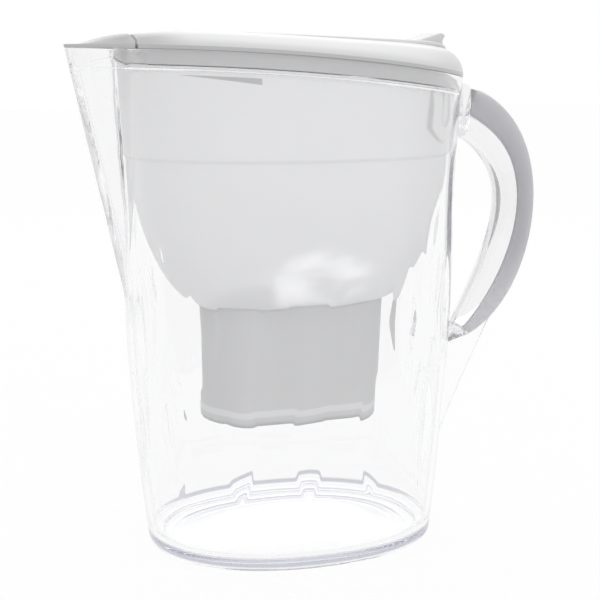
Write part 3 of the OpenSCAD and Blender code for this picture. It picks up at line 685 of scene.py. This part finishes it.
# %% Handle and strip
def clear_handle():
    mesh = bmesh.new()
    root = (-0.2, -0.1, 0, 0.012, 0.022, CHANNEL_START)
    bow = [mix(CHANNEL_START, CHANNEL_END, n / 64) for n in range(65)]
    foot = [mix(CHANNEL_END, 1.3, n / 20) for n in range(21)]
    loft(mesh, cap_ends([bar_section(t, 0, 1, BAR_HALF) for t in root]))
    loft(mesh, cap_ends([channel_section(t) for t in bow]))
    loft(mesh, cap_ends([bar_section(t, 0, 1, BAR_HALF) for t in foot]))
    piece("jug_handle", mesh, "jug", handle_clear, "jug", 50)


def white_strip(steps=72):
    """The strip fills the channel, and thins out softly at its two ends."""
    mesh = bmesh.new()
    sections = []
    for n in range(steps + 1):
        t = mix(CHANNEL_START + 0.01, CHANNEL_END - 0.005, n / steps)
        swell = (1 - abs(2 * n / steps - 1) ** 40) ** 0.5
        top, half = mix(0.74, 0.965, swell), STRIP_HALF * mix(0.86, 1, swell)
        sections.append(bar_section(t, STRIP_FLOOR, top, half, palm_corner=0.3))
    loft(mesh, cap_ends(sections))
    piece("handle_strip_cover", mesh, "jug", strip_white, "handle_strip", 50)


clear_handle()
white_strip()

# %% [markdown]
# ## The fin
# Below the handle a thin fin runs down the wall to the base. It is a flat outline with thickness:
# the outline is drawn once, extruded across, and its edges are bevelled so that they catch light.


# %% Plates and rounded edges
def round_edges(mesh, edges, width, segments=2, clamp_overlap=False):
    bmesh.ops.bevel(mesh, geom=edges, offset=width, offset_type="OFFSET", segments=segments,
                    profile=0.5, affect="EDGES", material=-1, clamp_overlap=clamp_overlap)


def plate(mesh, outline, thick):
    """Extrudes an upright outline across the middle. Gives its points, and the edges to round."""
    face = mesh.faces.new([mesh.verts.new((x, -thick / 2, z)) for x, z in outline])
    made = bmesh.ops.extrude_face_region(mesh, geom=[face])["geom"]
    bmesh.ops.translate(mesh, verts=only(made, bmesh.types.BMVert), vec=(0, thick, 0))
    sides = [face, *only(made, bmesh.types.BMFace)]
    verts = list(dict.fromkeys(vert for side in sides for vert in side.verts))
    rims = [e for e in edges_of(verts) if abs(e.verts[0].co.y - e.verts[1].co.y) < 0.1]
    return verts, rims


# %% Fin
def fin(sunk=0.9):
    """The fin's inner edge lies a little inside the jug's wall."""
    mesh = bmesh.new()
    foot = (half_length(16) - 0.3, 16)
    edge = [(ROOT + 27.1, 117.8), (ROOT + 15.6, 91.7), (ROOT - 5, 56.3), foot]
    outline = [bezier(edge, n / 30) for n in range(31)]
    outline += [(half_length(z) - sunk, z) for z in range(18, 104, 3)]
    outline += [(half_length(103) - sunk, 103.6)]
    outline += [handle_point(t, 0.8, 0)[::2] for t in (0.9, 0.8)]
    verts, rims = plate(mesh, outline, 4)
    round_edges(mesh, rims, 0.7, 3, True)
    piece("jug_fin", mesh, "jug", clear, "jug", 30)


fin()

# %% [markdown]
# ## The funnel
# The funnel hangs on the ledge inside the rim. It narrows in a bowl to the oblong well that
# holds the cartridge. Its wall is one closed loop of rings: down the outside, round the hole in
# the well's floor and up the inside. Two low arches, one each side of the handle, locate it.

# %% Funnel outlines
GAP, SKIN, STEP_Z = 0.8, 1.8, 214
BODY = WALL + GAP
WELL_LONG, WELL_WIDE, DRAFT = 53, 30, 2.7  # half sizes at the top, and how much it narrows


def oval_ring(drop, inset):
    """A ring of the oval without the prow, some way below the rim."""
    return below_rim(drop, inset, oval_radius)


def oblong_radius(phi, half_len, half_wid):
    """Radius of an oblong with round ends."""
    e, s, c = half_len - half_wid, abs(math.sin(phi)), abs(math.cos(phi))
    if s * e > c * half_wid:
        return half_wid / s
    return e * c + math.sqrt(half_wid * half_wid - e * e * s * s)


def well_radius(phi, z, inset):
    n = DRAFT * (WELL_TOP - z) / (WELL_TOP - WELL_FOOT)
    return oblong_radius(phi, WELL_LONG - n - inset, WELL_WIDE - 0.6 * n - inset)


def well(z, inset):
    return ring(lambda phi: well_radius(phi, z, inset), z)


def bowl(t, inset):
    """The bowl from its top (t = 0) to the well (t = 1)."""
    f = (1 - t**1.7) ** 0.6
    return ring(
        lambda phi: mix(well_radius(phi, WELL_TOP, 0), oval_radius(phi, STEP_Z, BODY + 1.6), f)
        - inset * (1 - t),
        mix(STEP_Z, WELL_TOP, t) + inset * t,
    )


def arch_relief(phi, z):
    """The locating arches: two U shapes that stand 0.65 mm out of the wall."""
    if math.cos(phi) < 0.5 or z > 252:
        return 0
    across = abs(abs(oval_radius(phi, z, BODY) * math.sin(phi)) - ARCH_Y)
    reach, hole = (half * math.sqrt(clamp((z - foot) / rise)) for half, foot, rise in ARCHES)
    shape = smooth(reach, reach - 1.2, across) * smooth(hole - 1.2, hole, across)
    return -0.65 * shape * smooth(ARCH_FOOT, ARCH_FOOT + 2, z)


def funnel_side(z, inset, relief=False):
    return ring(lambda phi: oval_radius(phi, z, inset) - (arch_relief(phi, z) if relief else 0), z)


# %% Funnel
def funnel_shell():
    mesh = bmesh.new()
    bowl_steps = [1 - (1 - n / 26) ** 1.6 for n in range(26)]
    sides = [217, 219, 221] + [222.2 + 1.3 * n for n in range(15)]
    under, top, inside = LEDGE - 0.3, LEDGE - 1.8, WELL_FOOT + SKIN
    loft(mesh, [
        oval_ring(top, BODY + SKIN), oval_ring(top, RIM_WALL + 0.9),
        oval_ring(top + 0.4, RIM_WALL + 0.5), oval_ring(under - 0.3, RIM_WALL + 0.5),
        oval_ring(under, RIM_WALL + 0.8), oval_ring(under, BODY), oval_ring(under + 2, BODY),
        *[funnel_side(z, BODY, True) for z in reversed(sides)],
        funnel_side(STEP_Z + 2, BODY), funnel_side(STEP_Z + 1.3, BODY + 0.2),
        funnel_side(STEP_Z + 0.5, BODY + 1.2), *[bowl(t, 0) for t in bowl_steps],
        well(WELL_TOP - 0.8, 0), well(WELL_TOP - 2.5, 0.05), well(110, 0), well(90, 0),
        well(78.4, 0), well(77.4, -0.45), well(74, -0.45), well(WELL_FOOT + 1.2, -0.4),
        well(WELL_FOOT + 0.3, 0.1), well(WELL_FOOT, 0.8), well(WELL_FOOT, 10.5),
        well(inside, 10.5), well(inside, SKIN + 0.8), well(inside + 0.8, SKIN), well(90, SKIN),
        well(WELL_TOP + SKIN, SKIN), *[bowl(t, SKIN) for t in reversed(bowl_steps)],
        funnel_side(STEP_Z + 2, BODY + SKIN), funnel_side(230, BODY + SKIN),
        oval_ring(under + 2, BODY + SKIN),
    ], closed=True)
    piece("funnel_shell", mesh, "funnel", milky, "funnel")


funnel_shell()

# %% [markdown]
# ## The cover
# The cover is a shallow dome with an upright band along its edge. A pocket in it takes the flip
# lid, and its front ends at the seam of the spout flap. It is built the same way as the funnel,
# as one closed loop of rings. A plane then cuts it off at the seam, and a Boolean takes out the
# slot for the flap's knuckle. Booleans are kept for such small square cuts, because rings can't
# follow them and everything else stays cleaner without.

# %% The dome
BAND, SHOULDER = 2.3, 18  # height of the upright edge, and how far in the dome rounds off
SHOULDER_STEPS = [0.12, 0.4, 0.9, 1.6, 2.5, 3.6, 4.9, 6.4, 8]
CREST_Z, CREST_X, SLOPE = 279.49, -62, 0.053
SEAT, PANEL, LID_SKIN = 0.3, 2.0, 3.6
PANEL_LONG, PANEL_WIDE = 88.5, 50  # half sizes of the flip lid
RISE, RISE_X, RISE_RUN = 2, -60, 129  # it rises above the dome towards the handle
HINGE_X, FLAP_X, AXIS_DROP = -69, SEAM_X + 2.9, 2.8
KNUCKLE, KNUCKLE_GAP = 2.3, 0.6
LUG_Y, LUG_HALF, NOTCH_HALF, BARREL_END = 18.5, 2.5, 2.8, 31.5  # across the flip lid's hinge


def crest(x, power=2.6):
    """Height of the dome along its middle. The hinge axes lie below a slightly flatter curve."""
    if x < CREST_X:
        return CREST_Z - (CREST_Z - TIP_Z) * ((CREST_X - x) / (CREST_X + SPOUT_REACH)) ** power
    return CREST_Z - SLOPE * (x - CREST_X)


def edge_radius(phi):
    return jug_radius(phi, rim_height(math.cos(phi) * jug_radius(phi, TIP_Z, 0)), 0)


EDGE = {phi: edge_radius(phi) for phi in bearings()}
FLAP_AXIS, FLIP_AXIS = ((x, crest(x, 2) - AXIS_DROP) for x in (FLAP_X, HINGE_X))


def dome_height(x, inside):
    foot = rim_height(x) + BAND
    return foot + max(0, crest(x) - foot) * math.sqrt(1 - (1 - clamp(inside / SHOULDER)) ** 2)


def dome_ring(inset, lift=0.0):
    """A ring on the dome at a distance inside its edge."""
    return [
        (r * math.cos(phi), r * math.sin(phi), dome_height(r * math.cos(phi), inset) + lift)
        for phi in bearings() for r in [EDGE[phi] - inset]
    ]


def edge_band():
    """The dome's upright edge, from its lower corner up."""
    steps = ((-SEAT, 0.4), (-SEAT - 0.15, 0.08), (-SEAT - 0.5, 0), (-BAND + 0.25, 0))
    return [below_rim(drop, inset) for drop, inset in steps]


def flip_outline(phi, grow, front):
    """Radius of the flip lid's outline, which is cut off straight at its front."""
    r = superellipse(phi, PANEL_LONG + grow, PANEL_WIDE + grow)
    return min(r, front / math.cos(phi)) if math.cos(phi) < -0.01 else r


def panel_rise(x):
    return RISE * clamp((x - RISE_X) / RISE_RUN)


def carve(mesh, cutter):
    """Cuts one closed mesh out of another with a Boolean modifier, and keeps the result."""
    things = []
    for name, source in (("blank", mesh), ("cutter", cutter)):
        bmesh.ops.recalc_face_normals(source, faces=source.faces)
        data = bpy.data.meshes.new(name)
        source.to_mesh(data)
        things.append(bpy.data.objects.new(name, data))
        bpy.context.collection.objects.link(things[-1])
    blank, tool = things
    cut = blank.modifiers.new("cut", "BOOLEAN")
    cut.operation, cut.solver, cut.object = "DIFFERENCE", "EXACT", tool
    bpy.context.view_layer.update()
    result = blank.evaluated_get(bpy.context.evaluated_depsgraph_get()).to_mesh()
    mesh.clear()
    mesh.from_mesh(result)
    for thing in things:
        data = thing.data
        bpy.data.objects.remove(thing)
        bpy.data.meshes.remove(data)
    cutter.free()


def flip_ring(grow, lift, front, raised=1.0, share=1.0):
    """A ring round the flip lid's outline, at a height above or below its surface."""
    loop = []
    for phi in bearings():
        r = flip_outline(phi, grow, front) * share
        x = r * math.cos(phi)
        z = dome_height(x, EDGE[phi] - r) + lift + raised * panel_rise(x)
        loop.append((x, r * math.sin(phi), z))
    return loop


print(f"flap axis at {FLAP_AXIS[1]:.1f} mm, flip lid axis at {FLIP_AXIS[1]:.1f} mm")


# %% Hinge parts and cutting
def knuckle(mesh, axis, length, y=0):
    """A rod along Y about a hinge axis, with softened ends."""
    verts = bmesh.ops.create_cone(mesh, cap_ends=True, segments=48, radius1=KNUCKLE,
                                  radius2=KNUCKLE, depth=length)["verts"]
    rims = [e for e in edges_of(verts) if abs(e.verts[0].co.z - e.verts[1].co.z) < 1e-4]
    quarter_turn = Matrix.Rotation(math.radians(90), 3, "X")
    bmesh.ops.rotate(mesh, verts=verts, cent=(0, 0, 0), matrix=quarter_turn)
    bmesh.ops.translate(mesh, verts=verts, vec=(axis[0], y, axis[1]))
    round_edges(mesh, rims, 0.25)


def block(mesh, low, high, soften=0.3):
    """A block between two corners, with softened edges if it isn't a cutter."""
    verts = bmesh.ops.create_cube(mesh, size=1)["verts"]
    size = [b - a for a, b in zip(low, high)]
    middle = [(a + b) / 2 for a, b in zip(low, high)]
    bmesh.ops.scale(mesh, verts=verts, vec=size)
    bmesh.ops.translate(mesh, verts=verts, vec=middle)
    if soften:
        round_edges(mesh, edges_of(verts), soften)


def slice_off(mesh, x, side):
    """Cuts a closed wall with an upright plane, drops one side of it and closes the cut."""
    geom = mesh.verts[:] + mesh.edges[:] + mesh.faces[:]
    cut = bmesh.ops.bisect_plane(mesh, geom=geom, dist=1e-5, plane_co=(x, 0, 0),
                                 plane_no=(side, 0, 0), clear_outer=True)
    rims = only(cut["geom_cut"], bmesh.types.BMEdge)
    bmesh.ops.triangle_fill(mesh, use_beauty=True, use_dissolve=False, edges=rims)


# %% [markdown]
# ## Cover, skirt and tabs
# The dome is cut before the skirt is added, because the skirt runs on across the mouth of the
# prow. The two wedge tabs hang inside the funnel and guide the cover as it is put on.


# %% Cover
def wedge_tab(mesh, side):
    """One tab: a strip that follows the funnel's wall, deeper at its rear end."""
    loops = []
    for n in range(13):
        x, drop = WEDGE_X + WEDGE_LONG * n / 12, mix(11.5, 14, n / 12)
        loop = []
        for inset, down in ((6.2, drop), (7.8, drop), (7.8, -7), (6.2, -7)):
            z = rim_height(x) - down
            a, b = half_length(z) - inset, half_width(z) - inset
            y = side * b * (1 - (abs(x) / a) ** OVAL_POWER) ** (1 / OVAL_POWER)
            loop.append((x, y, z))
        loops.append(loop)
    loft(mesh, cap_ends(loops))


def cover():
    mesh = bmesh.new()
    front = HINGE_X - KNUCKLE - KNUCKLE_GAP - 0.3  # of the pocket
    skirt_in = RIM_WALL + 0.5 + 2  # inset of the skirt's inside
    loft(mesh, [
        *edge_band(), *[dome_ring(d) for d in SHOULDER_STEPS],
        flip_ring(2.5, 0, front, 0), flip_ring(0.9, 0, front, 0), flip_ring(0.55, -0.12, front, 0),
        flip_ring(0.5, -0.5, front, 0), flip_ring(0.5, -PANEL - SEAT, front),
        flip_ring(-5, -PANEL - SEAT, front), flip_ring(-5, -LID_SKIN, front, 0),
        flip_ring(2, -LID_SKIN, front, 0), dome_ring(7, -LID_SKIN),
        oval_ring(-1.4, skirt_in + 0.2), oval_ring(-0.9, skirt_in),
        oval_ring(-0.35, skirt_in - 1), oval_ring(-SEAT, RIM_WALL + 0.7),
    ], closed=True)
    slice_off(mesh, SEAM_X + SEAM_GAP, -1)
    slot = bmesh.new()
    block(slot, (SEAM_X - 1, -7, FLAP_AXIS[1] - 2.9), (SEAM_X + 5.8, 7, 290), 0)
    carve(mesh, slot)
    loft(mesh, [
        oval_ring(-0.35, RIM_WALL + 0.6), oval_ring(6.9, RIM_WALL + 0.5),
        oval_ring(7.3, RIM_WALL + 0.9), oval_ring(7.4, skirt_in - 0.4), oval_ring(7, skirt_in),
        oval_ring(0.2, skirt_in), oval_ring(-0.35, skirt_in - 0.3),
    ], closed=True)
    axis_z = FLIP_AXIS[1]
    for side in (-1, 1):
        wedge_tab(mesh, side)
        knuckle(mesh, FLAP_AXIS, 4, side * 9)
        lug = side * LUG_Y
        knuckle(mesh, FLIP_AXIS, 2 * LUG_HALF, lug)
        block(mesh, (HINGE_X - 7, lug - LUG_HALF, axis_z - KNUCKLE),
              (HINGE_X - 0.2, lug + LUG_HALF, axis_z + KNUCKLE - 0.05))
    piece("cover_dome", mesh, "lid", cover_white, "lid_frame", 32)


cover()

# %% [markdown]
# ## Spout flap
# The flap is the front of the same dome, so it is made from the same rings and cut on the other
# side of the seam. Its knuckle reaches back between the two ears of the cover.


# %% Spout flap
def spout_flap():
    mesh = bmesh.new()
    outside = SHOULDER_STEPS + [11, 15, 22, 35, 50]
    inside = [2.05, 2.6, 3.6, 5, 8, 12, 20, 35, 50]
    loft(mesh, [
        dome_ring(64), *[dome_ring(d) for d in reversed(outside)], *reversed(edge_band()),
        below_rim(-SEAT, PANEL - 0.3), below_rim(-SEAT - 0.05, PANEL),
        *[dome_ring(d, -PANEL + 0.02) for d in inside], dome_ring(64, -PANEL),
    ])
    slice_off(mesh, SEAM_X, 1)
    axis_z, half = FLAP_AXIS[1], 6.7
    knuckle(mesh, FLAP_AXIS, 2 * half)
    block(mesh, (SEAM_X - 1, -half, axis_z - 1.4), (FLAP_X, half, axis_z + KNUCKLE - 0.2))
    piece("flap_skin", mesh, "spout_flap", cover_white, "spout_flap", 32)


spout_flap()

# %% [markdown]
# ## Flip lid
# The flip lid is a plate that lies in the pocket. It rises a little above the dome towards the
# handle, where the thumb tab stands. Its front edge is a barrel on the hinge pin. Booleans cut
# the notches for the cover's two lugs, and the stepped seat of the change reminder.


# %% Flip lid
def flip_lid():
    mesh = bmesh.new()
    shares, front = [0.0, 0.2, 0.45, 0.7, 0.86], HINGE_X
    loft(mesh, [
        *[flip_ring(0, 0, front, 1, s) for s in shares], flip_ring(-3, 0, front),
        flip_ring(-0.9, 0, front), flip_ring(-0.3, -0.1, front), flip_ring(0, -0.45, front),
        flip_ring(0, -PANEL + 0.3, front), flip_ring(-0.3, -PANEL, front),
        *[flip_ring(0, -PANEL, front, 1, s) for s in reversed(shares)],
    ])
    cuts = bmesh.new()
    for side in (-1, 1):
        notch = side * LUG_Y
        block(cuts, (HINGE_X - 4, notch - NOTCH_HALF, 260),
              (HINGE_X + 2.9, notch + NOTCH_HALF, 290), 0)
        low, high = sorted((side * (BARREL_END - 0.2), side * 60))
        block(cuts, (HINGE_X - 9, low, 260), (HINGE_X + 4.6, high, 290), 0)
    carve(mesh, cuts)
    for half_len, half_wid, low in ((17.25, 11.25, -9), (18.85, 12.85, -1.3)):
        seat = bmesh.new()
        reminder_seat(seat, half_len, half_wid, low)
        carve(mesh, seat)
    return mesh


def reminder_seat(mesh, half_len, half_wid, low):
    """An oblong cutter that stands on the lid's slope where the change reminder sits."""
    middle = 45
    place = crest(middle) + panel_rise(middle)
    tilt = math.atan(SLOPE - RISE / RISE_RUN)
    c, s = math.cos(tilt), math.sin(tilt)
    loops = []
    for up in (low, 12):
        loop = []
        for phi in bearings(72):
            r = oblong_radius(phi, half_len, half_wid)
            x, y = r * math.cos(phi), r * math.sin(phi)
            loop.append((middle + x * c + up * s, y, place - x * s + up * c))
        loops.append(loop)
    loft(mesh, cap_ends(loops))


# %% Thumb tab
TAB_REAR, TAB_TALL, TAB_WIDE, TAB_BEND = 88.1, 7.6, 26, 40
TAB_START = TAB_REAR - 19.5


def tab_profile():
    """The tab from the side: up its slope, round its top and down its hollow back."""
    toe, top = crest(TAB_START) + 2.15, crest(TAB_REAR) + TAB_TALL
    foot = crest(TAB_REAR) - 1.2
    profile = [(TAB_START - 0.6, crest(TAB_START) + 1.6), (TAB_START + 0.4, toe)]
    for t in (0.25, 0.5, 0.75, 0.93):
        x = mix(TAB_START + 0.4, TAB_REAR - 2.8, t)
        profile.append((x, mix(toe, top - 0.1, t**0.94)))
    for a in map(math.radians, range(0, 100, 20)):
        profile.append((TAB_REAR - 2.8 * (1 - math.sin(a)), top - 1.7 * (1 - math.cos(a))))
    for a in range(-60, 80, 20):
        hollow = 1.5 * math.cos(math.radians(1.5 * a))
        profile.append((TAB_REAR - hollow, mix(top - 1.8, foot + 1.5, (a + 60) / 120)))
    return profile + [(TAB_REAR, foot), (TAB_START - 0.6, foot + 1)]


def thumb_tab(mesh):
    """A plate across the lid, whose two sides are bent forwards."""
    verts, rims = plate(mesh, tab_profile(), TAB_WIDE)
    for vert in verts:
        bend = (1 - math.sqrt(1 - (vert.co.y / TAB_BEND) ** 2)) * TAB_BEND
        vert.co.x -= bend * clamp((vert.co.x - TAB_START) / 19)
    round_edges(mesh, rims, 0.8, 3, True)


def flip_panel():
    mesh = flip_lid()
    thumb_tab(mesh)
    near, far = LUG_Y - NOTCH_HALF, LUG_Y + NOTCH_HALF
    for low, high in ((-BARREL_END, -far), (-near, near), (far, BARREL_END)):
        knuckle(mesh, FLIP_AXIS, high - low, (low + high) / 2)
    piece("flip_panel", mesh, "flip_lid", cover_white, "flip_lid", 32)


flip_panel()

# %% [markdown]
# ## Finishes of the solids that stay
# The cartridge, the pins and the reminder keep their solids. They only need materials: dark
# grains for the bed, a fine weave for the screens, a soft dull rubber for the seal. Where one
# noise makes the whole surface, the same function takes its scale, colours and depth.


# %% Finishes for the inner parts
def granules():
    finish = Finish("carbon_granules")
    cells = finish.node("ShaderNodeTexVoronoi", {"feature": "F1"}, Vector=finish.place(),
                        Scale=900.0)
    finish.set(Base_Color=finish.shade(cells, (0.02, 0.02, 0.02), (0.10, 0.10, 0.10)),
               Roughness=0.55 + 0.4 * cells, Normal=finish.bump(1 - cells, 0.0006, 0.9))
    return finish.material


def screen_mesh():
    finish = Finish("screen_weave")
    warp, weft = (finish.node("ShaderNodeTexWave", {"bands_direction": way},
                              Vector=finish.place(), Scale=320.0) for way in "XY")
    weave = warp * weft
    finish.set(Base_Color=finish.shade(weave, (0.42, 0.42, 0.42), (0.85, 0.85, 0.84)),
               Roughness=0.6 + 0.2 * weave, Normal=finish.bump(weave, 0.0002, 0.8))
    return finish.material


def noisy(name, noise, dark, light, rough, depth, strength=0.5, **more):
    """A finish whose tone, roughness and bump follow one noise."""
    finish = Finish(name)
    mark = finish.noise(*noise)
    finish.set(Base_Color=finish.shade(mark, dark, light), Roughness=rough + 0.2 * mark,
               Normal=finish.bump(mark, depth, strength), **more)
    return finish.material


seal_rubber = noisy("seal_rubber", (300, 4, 0.6), (0.20, 0.21, 0.22), (0.27, 0.28, 0.29),
                    0.62, 0.00005)
board_laminate = noisy("board_laminate", (600, 3, 0.6, (1, 0.2, 1)), (0.03, 0.14, 0.07),
                       (0.06, 0.22, 0.11), 0.35, 0.00003)
cell_steel = noisy("cell_steel", (500, 4, 0.6, (1, 0.05, 1)), (0.52, 0.52, 0.53),
                   (0.66, 0.66, 0.67), 0.24, 0.00002, 0.4, Metallic=1.0)
window_clear = clear_plastic("window_plastic", (0.95, 0.96, 0.97), 0.00002)

# %% Dress the solids that stay
looks = {
    "cartridge_housing": cartridge_white, "cartridge_cap": cartridge_white,
    "pull_loop": cartridge_white, "cartridge_seal": seal_rubber, "inlet_screen": screen_mesh(),
    "outlet_screen": screen_mesh(), "granule_bed": granules(), "flip_hinge_pin": grey,
    "flap_hinge_pin": grey, "reminder_case": grey, "reminder_window": window_clear,
    "reminder_button": white, "reminder_board": board_laminate, "reminder_cell": cell_steel,
}
for node, material in looks.items():
    for place in frame["nodes"][node].material_slots:
        place.material = material
print("dressed", len(looks), "solids")

# %% [markdown]
# ## Stage, light and camera
# The floor is plain and pale. Rays that come straight from the camera, or by a mirror or through
# clear plastic, see it as white, and all others see a plain dull floor that keeps the shadow. The
# world works the same way, so the clear walls have something bright behind them. A ray crosses
# many clear walls, and ends dark if it runs out of bounces, so it may have plenty. Glossy paths
# aren't blurred, because that would smear what stands behind the plastic.


# %% Stage
DOME_LIGHT, SIDE_DIM = 1.2, 0.7


def for_view(graph):
    """1 for rays that look, from the camera, by a mirror or through clear plastic, and 0 for rays
    that light."""
    path = graph.node("ShaderNodeLightPath").socket.node.outputs
    straight, mirrored, through, scattered = (Value(graph, path[name]) for name in (
        "Is Camera Ray", "Is Glossy Ray", "Is Transmission Ray", "Diffuse Depth"))
    first = graph.math_of("LESS_THAN", scattered, 0.5)
    return graph.math_of("MINIMUM", straight + mirrored + through, 1.0) * first


# %% Floor and light
def floor():
    bpy.ops.mesh.primitive_plane_add(size=12, location=(0, 0, 0))
    plane = bpy.context.object
    plane.name = "floor"
    graph = Finish("pale_floor")
    graph.set(Base_Color=(0.8, 0.8, 0.8, 1), Roughness=0.9)
    plain = Value(graph, graph.shader.outputs[0])
    glow = graph.node("ShaderNodeEmission", {}, Strength=1.0)
    shown = graph.node("ShaderNodeMixShader", {}, for_view(graph) * 0.94, plain, glow)
    graph.feed(graph.tree.nodes["Material Output"].inputs[0], shown)
    plane.data.materials.append(graph.material)
    plane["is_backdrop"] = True


def world():
    """An even white to look at, and for light a dome that is dimmer to the left and right."""
    scene = bpy.context.scene
    scene.world = scene.world or bpy.data.worlds.new("studio")
    scene.world.use_nodes = True
    graph = Finish("studio", scene.world.node_tree)
    split = graph.node("ShaderNodeSeparateXYZ", {}, graph.node("ShaderNodeTexCoord"))
    plain = graph.tree.nodes["Background"]
    graph.feed(plain.inputs["Color"], (1, 1, 1, 1))
    graph.feed(plain.inputs["Strength"], DOME_LIGHT - SIDE_DIM * split * split)
    bright = graph.node("ShaderNodeBackground", {}, (1, 1, 1, 1), 1.0)
    dome = Value(graph, plain.outputs[0])
    shown = graph.node("ShaderNodeMixShader", {}, for_view(graph), dome, bright)
    graph.feed(graph.tree.nodes["World Output"].inputs[0], shown)


def lamp(name, place, target, size, watts):
    light = bpy.data.lights.new(name, "AREA")
    light.shape, light.size, light.energy = "DISK", size, watts
    thing = bpy.data.objects.new(name, light)
    bpy.context.collection.objects.link(thing)
    thing.location = place
    thing.rotation_euler = (Vector(target) - Vector(place)).to_track_quat("-Z", "Y").to_euler()
    print(f"{name}: {watts} W at {place}")


# %% Camera and render paths
def camera():
    """The view from beside the spout, level with the rim and looking slightly down."""
    turn, away, height = math.radians(17.6), 0.718, 0.2672
    aside, aim_height = 0.0079, 0.1329  # where it looks, beside the jug's middle
    offset = Vector((-0.002 - MIDDLE / 1000, 0, 0))
    place = Vector((-math.sin(turn) * away, -math.cos(turn) * away, height)) + offset
    aim = Vector((math.cos(turn) * aside, -math.sin(turn) * aside, aim_height)) + offset
    data = bpy.data.cameras.new("view")
    data.lens, data.sensor_fit = 78.54, "HORIZONTAL"
    data.sensor_width = data.sensor_height = 36
    data.clip_start, data.clip_end = 0.01, 50
    thing = bpy.data.objects.new("view", data)
    bpy.context.collection.objects.link(thing)
    thing.location = place
    thing.rotation_euler = (aim - place).to_track_quat("-Z", "Y").to_euler()
    bpy.context.scene.camera = thing


floor()
world()
lamp("top_softbox", (0.3, 0.1, 1.5), (0, 0, 0.15), 1.2, 1.5)
lamp("back_softbox", (0.4, 1.3, 0.9), (0, 0, 0.15), 1.2, 1.5)
camera()
paths = bpy.context.scene.cycles
paths.blur_glossy = 0
paths.max_bounces = paths.transmission_bounces = paths.glossy_bounces = 128
bpy.context.scene.view_settings.view_transform = "Standard"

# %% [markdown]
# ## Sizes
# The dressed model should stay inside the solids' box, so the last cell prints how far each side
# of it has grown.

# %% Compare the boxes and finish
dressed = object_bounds()
grown = [round(1000 * (b - a), 2) for p, q in zip(cad_box, dressed) for a, b in zip(p, q)]
print("grown by, in mm:", grown)
